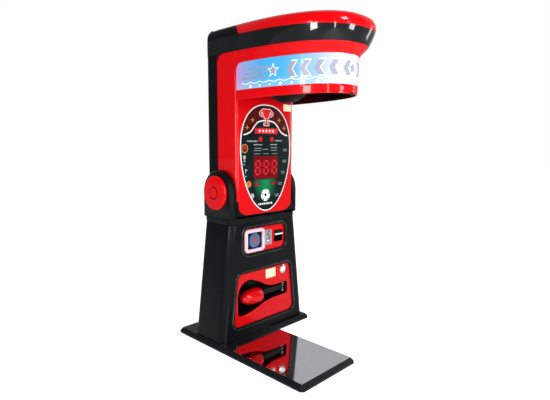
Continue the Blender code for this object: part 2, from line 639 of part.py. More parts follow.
def roof(name, look):
    levels = [(BAND_TOP[0], BAND_TOP[1], BAND_TOP[2])] + list(ROOF)
    outer = [[(x, y, roof_height(v, y)) for x, y in head_plan(v[1])] for v in levels]
    inner = []
    for v in levels[:-1]:
        drop = 0 if v is levels[0] else SKIN
        line = offset(head_plan(v[1]), SKIN)
        inner.append([(x, y, roof_height(v, y) - drop) for x, y in line])
    last = levels[-1]
    line = offset(head_plan(last[1]), 0.012)
    inner.append([(x, y, roof_height(last, y) - SKIN) for x, y in line])
    return loft(name, inner[::-1] + outer, look, front=NOSE_STEPS // 2)


def column():
    radius = 0.022
    top = BAND_LOW[0] - GAP

    hem = HUB * sin(radians(18))

    def low(y):
        return TOE if y < 0 else PIVOT - max(sqrt(max(HUB * HUB - y * y, 0.0)), hem)

    def channel(name, path, look):
        inner = offset(path, SKIN, closed=False)
        loops = [[(*p, low(p[1])), (*p, top), (*q, top), (*q, low(p[1]))] for p, q in zip(path, inner)]
        return loft(name, loops, look)

    front = ([(-HALF, SIDE_SPLIT), (-HALF, SIDE_SPLIT / 2), (-HALF, -0.006)]
             + arc((-HALF + radius, -HUB + radius), radius, 180, 270)
             + arc((HALF - radius, -HUB + radius), radius, 270, 360)
             + [(HALF, -0.006), (HALF, SIDE_SPLIT / 2), (HALF, SIDE_SPLIT)])
    shell = channel("column_shell", front, (RED, 0.15))
    bore = [(PIN + 0.004, -0.35), (PIN + 0.004, 0.35)]
    cut(shell, turned("cut_column", (0, 0, PIVOT), "X", bore, None))
    cut(shell, prism("cut_display", egg(), "Y", -HUB - 0.01, -HUB + 0.015, None))
    # the frame's boom leaves the column here
    cut(shell, box("cut_boom", (-0.105, 0.105), (-HUB - 0.01, -HUB + 0.015),
                   (DECK - 0.048, DECK + 0.050), None))

    start = SIDE_SPLIT + GAP
    side = [start, 0.070, 0.100, 0.125]
    back = ([(HALF, y) for y in side] + arc((HALF - 0.02, REAR - 0.02), 0.02, 0, 90, 5)
            + arc((-HALF + 0.02, REAR - 0.02), 0.02, 90, 180, 5) + [(-HALF, y) for y in side[::-1]])
    channel("column_back_cover", back, (BLACK, 0.35))
    inside = HALF - 0.021
    wall, thick = REAR - SKIN - GAP, 0.004
    heel = (arc((0, PIVOT), HUB - GAP, -88, -19, 14)
            + [(wall, PIVOT - 0.042), (wall, PIVOT - 0.012), (wall - thick, PIVOT - 0.012),
               (wall - thick, PIVOT - 0.042)]
            + arc((0, PIVOT), HUB - GAP - thick, -19, -88, 14))
    prism("column_heel", heel, "X", -inside, inside, (BLACK, 0.5))

    corner, tip = 0.100, 0.0022
    inner = HALF - tip - corner
    strip = TOE + 0.005
    trim = ([(-HALF, strip + corner), (-HALF, TOE), (HALF, TOE), (HALF, strip + corner)]
            + arc((inner, strip + corner), corner, 0, -90, 8)
            + arc((-inner, strip + corner), corner, -90, -180, 8))
    prism("column_toe_trim", trim, "Y", -HUB - GAP, -HUB - 0.004, (BLACK, 0.35))


def egg(grow=0.0, steps=24):
    """The display's outline in (x, z): anticlockwise, blunt at the top and narrow at the bottom."""
    wide = HALF - 0.037
    up, down = EGG_TOP - EGG_MIDDLE, EGG_MIDDLE - EGG_LOW
    points = []
    for i in range(2 * steps):
        turn = pi * i / steps
        rise, power = (up, 2.3) if i < steps else (down, 1.9)
        across = abs(cos(turn)) ** (2 / power)
        side = 1 if cos(turn) > 0 else -1
        height = abs(sin(turn)) ** (2 / power) * (1 if i < steps else -1)
        points.append((side * across * (wide + grow), EGG_MIDDLE + height * (rise + grow)))
    return points


def display():
    face = -HUB - GAP
    loops = [lift(egg(0.007), "Y", face), lift(egg(0.006), "Y", face - 0.003),
             lift(egg(-0.005), "Y", face - 0.003), lift(egg(-0.006), "Y", face)]
    loft("display_bezel", loops, ((0.85, 0.85, 0.86), 0.2), closed=True)
    front = -HUB + SKIN + GAP
    panel = prism("display_panel", egg(0.012), "Y", front, front + PANEL, (BLACK, 0.15))
    span = (front - 0.02, front + 0.02)
    cut(panel, box("cut_led", DISPLAY_X, span, DISPLAY_Z, None))
    for side, sign in (("left", -1), ("right", 1)):
        centre = (sign * MODE_X, front, MODE_Z)
        cut(panel, turned("cut_mode_" + side, centre, "Y", [(0.0125, -0.02), (0.0125, 0.02)], None, sides=20))
        button = [(0.012, 0.014), (0.012, -0.006), (0.009, -0.009), (0.004, -0.010)]
        turned("mode_button_" + side, centre, "Y", button, (RED, 0.2), sides=20, origin=centre)
    inside = [(DISPLAY_X[0] + FIT, DISPLAY_X[1] - FIT), (front - 0.0005, front + 0.022),
              (DISPLAY_Z[0] + FIT, DISPLAY_Z[1] - FIT)]
    box("led_display", *inside, ((0.25, 0.004, 0.006), 0.2))


def head_shell():
    horseshoe("ring_lower", RING_LOW, SIGN_LOW, 0.008, (RED, 0.15))
    horseshoe("sign_band", SIGN_LOW, SIGN_TOP, 0.004, ((0.18, 0.55, 0.80), 0.2))
    horseshoe("head_skirt", SIGN_TOP, BAND_LOW, SKIN, (RED, 0.15))
    loft("head_band", shade_ring(BAND_LOW, BAND_TOP, SKIN), (BLACK, 0.3), closed=True)
    low, high = HEIGHT - 0.15, HEIGHT + 0.03
    lean = [(NOSE_START + 0.046, high), (NOSE_START + 0.046, HEIGHT + 0.007),
            (NOSE_START - 0.016, HEIGHT - 0.098), (NOSE_START - 0.031, low)]
    ahead = lean + [(NOSE_START - NOSE - 0.2, low), (NOSE_START - NOSE - 0.2, high)]
    behind = [(y - GAP, z) for y, z in lean] + [(REAR + 0.1, low), (REAR + 0.1, high)]
    crown = roof("head_crown", (RED, 0.15))
    cut(crown, prism("cut_behind", behind, "X", -0.5, 0.5, None))
    cap = roof("head_rear_cap", (BLACK, 0.35))
    cut(cap, prism("cut_ahead", ahead, "X", -0.5, 0.5, None))


def head_frame():
    inner = HUB - SKIN - GAP
    boom = DECK + 0.100
    outline = (arc((0, PIVOT), 0.052, 180, 360, 12)
               + [(0.052, PIVOT + 0.108), (inner, PIVOT + 0.228), (inner, boom), (BAG_Y - 0.060, boom),
                  (BAG_Y - 0.060, BAG_Z)]
               + arc((BAG_Y, BAG_Z), 0.040, 200, 340, 8)
               + [(BAG_Y + 0.060, BAG_Z + 0.040), (BAG_Y + 0.060, DECK + GAP), (-inner - 0.080, DECK + GAP),
                  (-inner, DECK - 0.040), (-inner, EGG_TOP + 0.050), (-0.052, EGG_TOP - 0.010)])
    left = prism("head_frame", outline, "X", -FRAME_X[1], -FRAME_X[0], (ZINC, 0.5, 1.0))
    weld(left, prism("add_plate_right", outline, "X", *FRAME_X, None))
    long = HALF - SKIN - 0.006
    weld(left, turned("add_hub_tube", (0, 0, PIVOT), "X", [(0.030, -long), (0.030, long)], None))
    middle = 0.5 * sum(FRAME_X)
    crossings = (("front", BAG_Y + 0.100, DECK + 0.050), ("middle", -HUB - 0.093, DECK + 0.050),
                 ("rear", 0.080, EGG_TOP - 0.090))
    for label, y, z in crossings:
        weld(left, turned("add_spacer_" + label, (0, y, z), "X", [(0.014, -middle), (0.014, middle)], None,
                          sides=16))
    for label, y, z, radius in (("hub", 0, PIVOT, PIN + GAP), ("bag", BAG_Y, BAG_Z, SHAFT + GAP)):
        cut(left, turned("cut_" + label, (0, y, z), "X", [(radius, -HALF), (radius, HALF)], None))


def head_inside():
    low = DECK - PANEL
    share = (low - SIGN_TOP[0]) / (BAND_LOW[0] - SIGN_TOP[0])
    flare = SIGN_TOP[1] + share * (BAND_LOW[1] - SIGN_TOP[1])
    plan = nose(flare)
    plan = [(plan[0][0], -HUB - GAP)] + plan + [(plan[-1][0], -HUB - GAP)]
    plan = offset(plan, SKIN + 0.0018)
    deck = prism("head_deck", plan, "Z", low, DECK, (BLACK, 0.5))
    through = (low - 0.02, DECK + 0.02)
    cut(deck, box("cut_hanger", (-0.125, 0.125), (BAG_Y - 0.075, BAG_Y + 0.075), through, None))
    cut(deck, box("cut_gusset", (-0.105, 0.105), (-HUB - 0.090, -HUB + 0.010), through, None))
    gap = low - GAP
    lamp = offset(plan, 0.012)
    lamp = [p for p in lamp if p[1] < NOSE_START - 0.02]
    inner = offset(lamp, 0.003, closed=False)
    loops = [[(*p, gap - 0.012), (*p, gap), (*q, gap), (*q, gap - 0.012)] for p, q in zip(lamp, inner)]
    loft("sign_lamp", loops, ((0.9, 0.9, 0.85), 0.4))
    speaker = [(0.066, 0.0), (0.068, 0.003), (0.050, 0.020), (0.036, 0.024), (0.036, 0.044)]
    turned("loudspeaker", (0, -HUB - 0.263, DECK + GAP), "Z", speaker, (ZINC, 0.5, 1.0), sides=28)
    magnet = [(0.025, -MAGNET), (0.025, 0.0)]
    turned("latch_magnet", (0, BAG_Y + LATCH, gap), "Z", magnet, (ZINC, 0.4, 1.0), sides=24)


def punch_bag():
    hinge = (0, BAG_Y, BAG_Z)
    reach = FRAME_X[1] + 0.015
    arm = turned("bag_arm", hinge, "X", [(SHAFT, -reach), (SHAFT, reach)], (ZINC, 0.4, 1.0), origin=hinge)
    stem = turned("add_stem", hinge, "Y", [(0.017, 0.0), (0.017, BAG_START - 0.004)], None, sides=24)
    hub = turned("add_hub", hinge, "X", [(0.024, -0.030), (0.024, 0.030)], None, sides=24)
    flange = turned("add_flange", hinge, "Y", [(0.050, BAG_START - 0.006), (0.050, BAG_START - GAP)], None)
    top = DECK - PANEL - MAGNET - 3 * GAP
    tab = box("add_tab", (-0.014, 0.014), (BAG_Y + LATCH - 0.015, BAG_Y + LATCH + 0.015), (BAG_Z, top), None)
    weld(arm, stem, hub, flange, tab)
    # the pear's radius falls short of its widest by these amounts
    shape = [(0.068, BAG_START), (0.052, BAG_START + 0.008), (0.028, BAG_START + 0.040),
             (0.008, BAG_START + 0.090), (0.000, BAG_START + 0.150), (0.002, BAG_START + 0.195),
             (0.016, BAG_END - 0.060), (0.042, BAG_END - 0.026), (0.075, BAG_END - 0.006), (0.105, BAG_END)]
    shape = [(BAG_RADIUS - short, along) for short, along in shape]
    turned("punch_bag", hinge, "Y", shape, ((0.02, 0.02, 0.02), 0.35), sides=28, origin=hinge)


clear_scene()
base()
pedestal_casing()
posts()
pivot()
yoke()
kicker()
control_panel()
works()
service_door()
column()
display()
head_shell()
head_frame()
head_inside()
punch_bag()
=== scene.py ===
"""Looks of the boxing and kicking strength tester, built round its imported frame.
Metres, +Z up, -Y is the player's side."""

import json
from math import cos, degrees, hypot, pi, radians, sin, sqrt

import bmesh
import bpy
from mathutils import Matrix, Vector
from mathutils.bvhtree import BVHTree

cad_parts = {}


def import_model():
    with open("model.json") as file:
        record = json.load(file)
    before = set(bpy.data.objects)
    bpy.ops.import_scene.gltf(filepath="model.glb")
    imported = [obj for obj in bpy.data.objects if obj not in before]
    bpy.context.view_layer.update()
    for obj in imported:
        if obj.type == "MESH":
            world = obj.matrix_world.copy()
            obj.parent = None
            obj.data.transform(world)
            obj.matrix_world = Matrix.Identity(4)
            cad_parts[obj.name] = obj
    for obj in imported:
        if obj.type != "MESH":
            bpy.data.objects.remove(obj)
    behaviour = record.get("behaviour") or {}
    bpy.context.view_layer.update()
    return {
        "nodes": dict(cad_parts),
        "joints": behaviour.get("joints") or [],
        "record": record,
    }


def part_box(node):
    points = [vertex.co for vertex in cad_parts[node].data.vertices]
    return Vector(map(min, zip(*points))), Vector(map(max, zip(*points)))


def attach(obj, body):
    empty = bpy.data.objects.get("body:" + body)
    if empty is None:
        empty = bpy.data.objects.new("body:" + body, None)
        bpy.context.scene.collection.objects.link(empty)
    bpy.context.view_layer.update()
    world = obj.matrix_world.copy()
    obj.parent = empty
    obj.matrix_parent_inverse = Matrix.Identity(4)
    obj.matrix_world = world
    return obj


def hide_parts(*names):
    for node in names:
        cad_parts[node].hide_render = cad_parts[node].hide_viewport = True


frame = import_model()
SLOT = {part["node"]: part["material_slot"] for part in frame["record"]["subparts"]}
JOINT = {joint["name"]: joint for joint in frame["joints"]}

# ---- sizes read from the frame ------------------------------------------------------------------
GAP = 0.0003                            # clearance between neighbours
THIN = 0.0005                           # how near to its axis a turned piece begins
column_low, column_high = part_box("column_shell")
HALF = column_high.x                    # half width of the column
FACE = column_low.y                     # its front
SPLIT = column_high.y                   # where its red side ends
TOE = column_low.z
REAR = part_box("column_back_cover")[1].y
PIVOT = JOINT["head_fold"]["pos_m"][2]
START_TRAVEL = JOINT["start_press"]["range_m"][1]
COLUMN_CORNER = 0.022                   # radius of its front corners
FLANK_STEP = 0.0337                     # pitch of the points along the toe's flank
CASING_CORNER = 0.052                   # radius of the pedestal's corners
WINDOW_MARGIN = 0.012                   # how far the casing laps over a panel's edge
HUB = REAR                              # radius of the column's heel
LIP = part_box("yoke_arm_left")[0].z - GAP    # top of the collar
PANEL_Z = 0.5 * (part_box("display_panel")[0].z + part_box("display_panel")[1].z)
GLOW_Z = PANEL_Z - 0.171                # middle of the display's painted green glow

RING_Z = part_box("ring_lower")[0].z
SIGN_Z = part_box("sign_band")[0].z
SKIRT_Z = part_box("head_skirt")[0].z
BAND_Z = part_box("column_back_cover")[1].z
TOP_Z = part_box("head_crown")[1].z

NOSE_START = FACE - 0.027               # where the head's sides begin to curve in
RING_FLARE = 0.006
NOSE = NOSE_START - (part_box("ring_lower")[0].y + RING_FLARE)
NOSE_POWER = 2.4

# height, flare beyond the column's plan and dip at the nose of each edge round the head
BAND_TOP_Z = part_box("head_band")[1].z
LEVELS = [(RING_Z, 0.000, -0.009), (SIGN_Z, RING_FLARE, 0.000), (SKIRT_Z, 0.012, 0.000),
          (BAND_Z, 0.064, 0.021), (BAND_TOP_Z, 0.101, 0.040), (TOP_Z - 0.043, 0.103, 0.034),
          (TOP_Z - 0.020, 0.094, 0.030), (TOP_Z - 0.007, 0.072, 0.027), (TOP_Z - 0.001, 0.030, 0.025)]
ROOF_FALL, FALL_START = 0.15, 0.08      # slope of the roof's back, and where in y it starts
ROOF_INSET = {5: 0.002, 6: 0.008, 7: 0.020, 8: 0.045}


# ---- materials ----------------------------------------------------------------------------------
def srgb(red, green, blue):
    """A colour given as it shows, 0 to 255, in linear values."""
    return tuple((c / 255 / 12.92) if c < 11 else ((c / 255 + 0.055) / 1.055) ** 2.4
                 for c in (red, green, blue))


class Nodes:
    """Adds and joins the nodes of a tree."""

    def __init__(self, tree):
        self.tree = tree

    def node(self, kind, **settings):
        made = self.tree.nodes.new(kind)
        for key, value in settings.items():
            setattr(made, key, value)
        return made

    def link(self, start, end):
        self.tree.links.new(start, end)

    def ramp(self, value, *stops):
        made = self.node("ShaderNodeValToRGB")
        places = made.color_ramp.elements
        while len(places) < len(stops):
            places.new(0.5)
        for element, (at, colour) in zip(places, stops):
            element.position = at
            element.color = (*colour, 1.0)
        self.link(value, made.inputs["Fac"])
        return made.outputs["Color"]


class Look(Nodes):
    """A procedural material: a Principled shader and what drives it."""

    def __init__(self, name, rough=0.4, metal=0.0, spec=0.5, coat=0.0, coat_rough=0.05):
        self.made = bpy.data.materials.new(name)
        self.made.use_nodes = True
        super().__init__(self.made.node_tree)
        self.shader = self.tree.nodes["Principled BSDF"]
        self.place = self.node("ShaderNodeTexCoord").outputs["Object"]
        for socket, value in (("Roughness", rough), ("Metallic", metal), ("Specular IOR Level", spec),
                              ("Coat Weight", coat), ("Coat Roughness", coat_rough)):
            self.shader.inputs[socket].default_value = value

    def stretch(self, scale, turn=(0, 0, 0)):
        mapping = self.node("ShaderNodeMapping")
        mapping.inputs["Scale"].default_value = scale
        mapping.inputs["Rotation"].default_value = turn
        self.link(self.place, mapping.inputs["Vector"])
        return mapping.outputs["Vector"]

    def noise(self, scale, detail=3.0, where=None):
        made = self.node("ShaderNodeTexNoise")
        made.inputs["Scale"].default_value = scale
        made.inputs["Detail"].default_value = detail
        self.link(where or self.place, made.inputs["Vector"])
        return made.outputs["Fac"]

    def cells(self, scale, feature="F1"):
        made = self.node("ShaderNodeTexVoronoi", feature=feature)
        made.inputs["Scale"].default_value = scale
        self.link(self.place, made.inputs["Vector"])
        return made.outputs["Distance"]

    def axis(self, name):
        made = self.node("ShaderNodeSeparateXYZ")
        self.link(self.place, made.inputs["Vector"])
        return made.outputs[name]

    def math(self, operation, a, b=None):
        made = self.node("ShaderNodeMath", operation=operation)
        for socket, value in zip(made.inputs, (a, b)):
            if isinstance(value, (int, float)):
                socket.default_value = value
            elif value is not None:
                self.link(value, socket)
        return made.outputs["Value"]

    def away(self, x, z, widen=1.0):
        """How far a place is from a point on a surface that looks towards the player."""
        dx = self.math("SUBTRACT", self.axis("X"), x)
        if widen != 1.0:
            dx = self.math("MULTIPLY", dx, widen)
        dz = self.math("SUBTRACT", self.axis("Z"), z)
        squares = self.math("ADD", self.math("MULTIPLY", dx, dx), self.math("MULTIPLY", dz, dz))
        return self.math("SQRT", squares)

    def span(self, value, low, high, to_low=0.0, to_high=1.0):
        """A value from one range, spread over another and held inside it."""
        made = self.node("ShaderNodeMapRange")
        for key, number in (("From Min", low), ("From Max", high), ("To Min", to_low), ("To Max", to_high)):
            made.inputs[key].default_value = number
        self.link(value, made.inputs["Value"])
        return made.outputs["Result"]

    def mix(self, share, a, b):
        made = self.node("ShaderNodeMix", data_type="RGBA")
        self.set(made.inputs["Factor"], share)
        self.set(made.inputs[6], a)
        self.set(made.inputs[7], b)
        return made.outputs[2]

    def set(self, socket, value):
        if isinstance(value, tuple):
            socket.default_value = (*value, 1.0)
        elif isinstance(value, (int, float)):
            socket.default_value = value
        else:
            self.link(value, socket)

    def colour(self, value):
        self.set(self.shader.inputs["Base Color"], value)
        return self

    def mottled(self, colour, amount=0.06, scale=14.0):
        """A colour that drifts a little lighter and darker."""
        dark = tuple(c * (1 - amount) for c in colour)
        light = tuple(min(1.0, c * (1 + amount)) for c in colour)
        return self.colour(self.ramp(self.noise(scale), (0.3, dark), (0.7, light)))

    def worn(self, low, high, scale=30.0):
        """Roughness that varies over the surface."""
        self.link(self.span(self.noise(scale, 5.0), 0.3, 0.7, low, high), self.shader.inputs["Roughness"])
        return self

    def bump(self, height, strength=0.3, distance=0.0004):
        made = self.node("ShaderNodeBump")
        made.inputs["Strength"].default_value = strength
        made.inputs["Distance"].default_value = distance
        self.link(height, made.inputs["Height"])
        self.link(made.outputs["Normal"], self.shader.inputs["Normal"])
        return self

    def seen_only(self, seen, otherwise):
        """One colour to the camera and another to everything that the surface lights."""
        path = self.node("ShaderNodeLightPath")
        return self.mix(path.outputs["Is Camera Ray"], otherwise, seen)

    def glow(self, value, strength):
        self.set(self.shader.inputs["Emission Color"], value)
        self.shader.inputs["Emission Strength"].default_value = strength
        return self


RED = srgb(216, 0, 9)
BLACK = srgb(12, 14, 15)
WHITE = srgb(244, 243, 244)


def plain(name, colour, drift, wear, bump, cells=False, glow=0.0, **shader):
    """A material of one colour. drift: how much and on what scale its tone varies. wear: the two
    roughnesses and their scale. bump: scale, detail, strength and depth."""
    made = Look(name, **shader)
    made.mottled(colour, *drift).worn(*wear)
    scale, detail, strength, depth = bump
    made.bump(made.cells(scale) if cells else made.noise(scale, detail), strength, depth)
    return made.glow(colour, glow) if glow else made


def mirror_steel():
    """Polished stainless sheet with faint wipe marks and fine scratches."""
    made = Look("mirror_steel", 0.06, metal=1.0)
    marks = made.noise(60.0, 6.0, made.stretch((0.4, 6.0, 1.0), (0, 0, 0.5)))
    made.colour(made.ramp(marks, (0.2, srgb(186, 186, 190)), (0.8, srgb(202, 202, 206))))
    made.link(made.span(marks, 0.3, 0.8, 0.035, 0.10), made.shader.inputs["Roughness"])
    return made.bump(made.noise(900.0, 2.0, made.stretch((0.1, 8.0, 1.0))), 0.04, 0.0001)


def zinc_steel():
    made = Look("zinc_steel", 0.38, metal=1.0)
    made.colour(made.ramp(made.cells(90.0), (0.0, srgb(120, 124, 130)), (1.0, srgb(170, 172, 176))))
    made.worn(0.28, 0.50, 60.0)
    return made.bump(made.noise(500.0, 3.0, made.stretch((1.0, 1.0, 0.15))), 0.15, 0.0002)


def aluminium():
    made = Look("case_aluminium", 0.36, metal=1.0)
    made.mottled(srgb(176, 178, 182), 0.08, 30.0).worn(0.28, 0.44, 90.0)
    return made.bump(made.noise(700.0, 3.0, made.stretch((0.1, 1.0, 1.0))), 0.20, 0.0002)


def circuit_board():
    """Green lacquer with copper tracks."""
    made = Look("circuit_board", 0.35, spec=0.4)
    tracks = made.cells(160.0, "DISTANCE_TO_EDGE")
    made.colour(made.ramp(tracks, (0.02, srgb(150, 110, 40)), (0.06, srgb(14, 84, 44))))
    return made.bump(tracks, 0.3, 0.0003)


def white_plastic(name="white_print", colour=WHITE, glow=0.0):
    return plain(name, colour, (0.02, 40.0), (0.2, 0.32, 50.0), (400.0, 3.0, 0.04, 0.0002), glow=glow,
                 rough=0.25, spec=0.3, coat=0.2)


def printed(name, colour, glow=0.0, rough=0.25):
    """Silk-screened ink: a little uneven, with a faint edge to its dots."""
    return plain(name, colour, (0.07, 120.0), (rough - 0.05, rough + 0.08, 160.0),
                 (2500.0, 3.0, 0.05, 0.0001),
                 glow=glow, rough=rough, spec=0.25)


def sign_print():
    """Backlit film: lilac at the column, sky blue along the side and pale at the nose."""
    made = Look("sign_print", 0.20, spec=0.15, coat=0.3, coat_rough=0.03)
    along = made.span(made.axis("Y"), FACE, FACE - 0.30)
    side = made.ramp(along, (0.0, srgb(196, 148, 206)), (0.30, srgb(140, 164, 220)),
                     (0.75, srgb(72, 168, 226)))
    across = made.math("ABSOLUTE", made.axis("X"))
    front = made.span(across, 0.262, 0.10)
    colour = made.mix(front, side, srgb(196, 190, 226))
    low = made.span(made.axis("Z"), SIGN_Z + 0.06, SIGN_Z)
    colour = made.mix(made.math("MULTIPLY", low, 0.35), colour, srgb(180, 220, 246))
    fleck = made.math("MULTIPLY", made.span(made.cells(70.0), 0.10, 0.02), 0.25)
    colour = made.mix(fleck, colour, srgb(230, 240, 252))
    made.colour(colour).worn(0.12, 0.2, 30.0)
    made.bump(made.noise(300.0), 0.03, 0.0002)
    return made.glow(colour, 0.10)


def display_print():
    """Black acrylic with a painted green glow behind the lower windows, in its colour and in its emission."""
    made = Look("display_print", 0.22, spec=0.12)
    far = made.away(-0.010, GLOW_Z, 1.15)
    wobble = made.math("MULTIPLY", made.noise(18.0), 0.05)
    share = made.span(made.math("ADD", far, wobble), 0.165, 0.045)
    # painted glow: the green fades out round the glow's middle
    field = made.mix(share, srgb(14, 22, 23), srgb(6, 128, 76))
    made.colour(made.mix(made.math("MULTIPLY", made.noise(35.0), 0.12), field, srgb(20, 70, 74)))
    made.worn(0.18, 0.26, 26.0)
    made.bump(made.noise(240.0), 0.03, 0.0002)
    # the same painted glow is emitted as well
    return made.glow(made.mix(share, (0.0, 0.0, 0.0), srgb(8, 140, 84)), 0.12)


def maroon_print():
    made = Look("maroon_print", 0.24, spec=0.10)
    made.colour(made.ramp(made.noise(26.0, 4.0), (0.3, srgb(66, 10, 16)), (0.7, srgb(96, 22, 22))))
    made.worn(0.14, 0.22, 30.0)
    return made.bump(made.noise(300.0), 0.03, 0.0002)


def led_window():
    """Red filter with its dot grid showing faintly."""
    made = Look("led_window", 0.24, spec=0.10)
    grid = made.cells(140.0)
    colour = made.ramp(grid, (0.1, srgb(138, 12, 20)), (0.6, srgb(106, 6, 14)))
    made.colour(colour).worn(0.14, 0.22, 40.0)
    made.bump(grid, 0.05, 0.0002)
    return made.glow(colour, 0.18)


def swirl():
    """The start button's lens: rings of blue, teal and violet round a warm middle."""
    low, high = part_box("start_button")
    middle = 0.5 * (low + high)
    made = Look("button_swirl", 0.12, spec=0.4, coat=0.5, coat_rough=0.03)
    bent = made.math("ADD", made.away(middle.x, middle.z),
                     made.math("MULTIPLY", made.noise(52.0, 2.0), 0.030))
    rings = made.ramp(made.span(bent, 0.010, 0.068),
                      (0.00, srgb(70, 56, 70)), (0.14, srgb(178, 92, 44)), (0.26, srgb(60, 66, 92)),
                      (0.38, srgb(186, 70, 48)), (0.50, srgb(44, 92, 140)), (0.64, srgb(120, 66, 84)),
                      (0.78, srgb(40, 110, 160)), (1.00, srgb(52, 100, 160)))
    made.colour(rings).worn(0.08, 0.16, 40.0)
    made.bump(made.noise(120.0), 0.10, 0.0004)
    return made.glow(rings, 0.10)


def bag_leather():
    """Black leather: pebbled grain with scuffs."""
    made = Look("bag_leather", 0.42, spec=0.16)
    scuff = made.span(made.noise(16.0, 6.0), 0.55, 0.75)
    made.colour(made.mix(scuff, srgb(14, 14, 15), srgb(30, 28, 28)))
    made.worn(0.36, 0.58, 22.0)
    return made.bump(made.cells(420.0), 0.45, 0.0006)


def label_print():
    """A blank paper label: pale yellow and near white in soft patches."""
    made = Look("label_print", 0.4, spec=0.3)
    made.colour(made.ramp(made.noise(60.0, 2.0), (0.3, srgb(250, 244, 176)), (0.7, srgb(255, 253, 226))))
    made.worn(0.34, 0.48, 60.0)
    return made.bump(made.noise(900.0), 0.05, 0.0001)


def lamp_white():
    made = Look("lamp_white", 0.5)
    made.mottled(srgb(240, 240, 235), 0.03, 30.0).bump(made.noise(300.0), 0.1, 0.0003)
    return made.glow(srgb(250, 248, 235), 0.6)


LOOKS = {
    # lacquered red under a clear coat with a faint orange peel
    "red": plain("red_gloss", RED, (0.02, 3.0), (0.28, 0.38, 18.0), (30.0, 1.0, 0.06, 0.0006),
                 rough=0.34, spec=0.05, coat=0.40, coat_rough=0.02),
    # moulded black with a fine leather grain, and the same plastic left smooth
    "grain": plain("black_grain", BLACK, (0.12, 9.0), (0.26, 0.34, 24.0), (900.0, 0, 0.16, 0.0002),
                   cells=True,
                   rough=0.28, spec=0.11),
    "smooth": plain("black_smooth", BLACK, (0.08, 7.0), (0.20, 0.28, 20.0), (260.0, 2.0, 0.08, 0.0003),
                    rough=0.24, spec=0.06, coat=0.85, coat_rough=0.02),
    # powder-coated steel
    "black_metal": plain("black_metal", srgb(18, 19, 21), (0.12, 12.0), (0.34, 0.46, 40.0),
                         (1400.0, 2.0, 0.35, 0.0002), rough=0.38, spec=0.14),
    "chrome": plain("chrome", srgb(206, 207, 212), (0.04, 40.0), (0.05, 0.16, 80.0),
                    (900.0, 3.0, 0.03, 0.0001),
                    rough=0.10, metal=1.0),
    "ball": plain("ball_gloss", srgb(214, 2, 12), (0.08, 30.0), (0.18, 0.34, 28.0), (500.0, 0, 0.10, 0.0003),
                  cells=True, rough=0.26, spec=0.06, coat=0.6, coat_rough=0.03),
    "bezel": plain("bezel_pale", srgb(232, 204, 218), (0.06, 26.0), (0.16, 0.3, 26.0),
                   (300.0, 3.0, 0.04, 0.0002),
                   rough=0.22, spec=0.4, coat=0.3),
    "mirror": mirror_steel(), "zinc": zinc_steel(), "aluminium": aluminium(), "board": circuit_board(),
    "white": white_plastic(), "sign": sign_print(), "display": display_print(), "maroon": maroon_print(),
    "led": led_window(), "swirl": swirl(), "leather": bag_leather(), "label": label_print(),
    "lamp": lamp_white(),
    "gold": printed("gold_print", srgb(190, 124, 44)),
    "grey": printed("grey_print", srgb(152, 156, 176)),
    "pale": printed("pale_print", srgb(168, 172, 176)),
    "ink": printed("ink_print", srgb(18, 20, 24)),
    "red_ink": printed("red_ink", srgb(222, 18, 26), 0.08),
    "segment": printed("segment_red", srgb(206, 26, 38), 0.20),
    "button": printed("button_red", srgb(226, 14, 28), 0.0, 0.16),
    "white_lit": white_plastic("white_lit", srgb(248, 250, 252), 0.25),
}


# ---- mesh tools ---------------------------------------------------------------------------------
def offset(points, inward, closed=True):
    """Points moved to the left of their path, which is inwards on an anticlockwise outline."""
    count = len(points)
    moved = []
    for i, (x, y) in enumerate(points):
        normals = []
        before = points[i - 1] if closed or i else None
        after = points[(i + 1) % count] if closed or i < count - 1 else None
        for a, b in ((before, (x, y)), ((x, y), after)):
            if a is None or b is None:
                continue
            size = hypot(b[0] - a[0], b[1] - a[1])
            if size > 1e-9:
                normals.append((-(b[1] - a[1]) / size, (b[0] - a[0]) / size))
        nx = sum(n[0] for n in normals) / len(normals)
        ny = sum(n[1] for n in normals) / len(normals)
        spread = max(0.25, nx * nx + ny * ny)
        moved.append((x + inward * nx / spread, y + inward * ny / spread))
    return moved


def arc(centre, radius, start, end, steps=6):
    turns = [radians(start + (end - start) * i / steps) for i in range(steps + 1)]
    return [(centre[0] + radius * cos(a), centre[1] + radius * sin(a)) for a in turns]


def rounded(x, y, radius, steps=8):
    """An anticlockwise rectangle with round corners."""
    return (arc((x[0] + radius, y[0] + radius), radius, 180, 270, steps)
            + arc((x[1] - radius, y[0] + radius), radius, 270, 360, steps)
            + arc((x[1] - radius, y[1] - radius), radius, 0, 90, steps)
            + arc((x[0] + radius, y[1] - radius), radius, 90, 180, steps))


def inside(node, margin, radius, steps=8):
    """A rounded outline a margin inside a node's front, or outside it where the margin is negative."""
    low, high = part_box(node)
    return rounded((low.x + margin, high.x - margin), (low.z + margin, high.z - margin), radius, steps)


def lift(points, axis, at):
    """Flat points placed across an axis: (y, z) for X, (x, z) for Y and (x, y) for Z."""
    if axis == "X":
        return [(at, a, b) for a, b in points]
    if axis == "Y":
        return [(a, at, b) for a, b in points]
    return [(a, b, at) for a, b in points]


def spline(p, t):
    """A place a share t of the way from the second to the third of four values or points."""
    return 0.5 * (2 * p[1] + (p[2] - p[0]) * t + (2 * p[0] - 5 * p[1] + 4 * p[2] - p[3]) * t * t
                  + (3 * p[1] - p[0] - 3 * p[2] + p[3]) * t ** 3)


def smooth(points, steps=6, closed=True):
    """A curve through given points."""
    count = len(points)
    curve = []
    for i in range(count if closed else count - 1):
        p = [Vector(points[(i + k) % count] if closed else points[min(max(i + k, 0), count - 1)])
             for k in (-1, 0, 1, 2)]
        curve.extend(tuple(spline(p, step / steps)) for step in range(steps))
    return curve if closed else curve + [tuple(points[-1])]


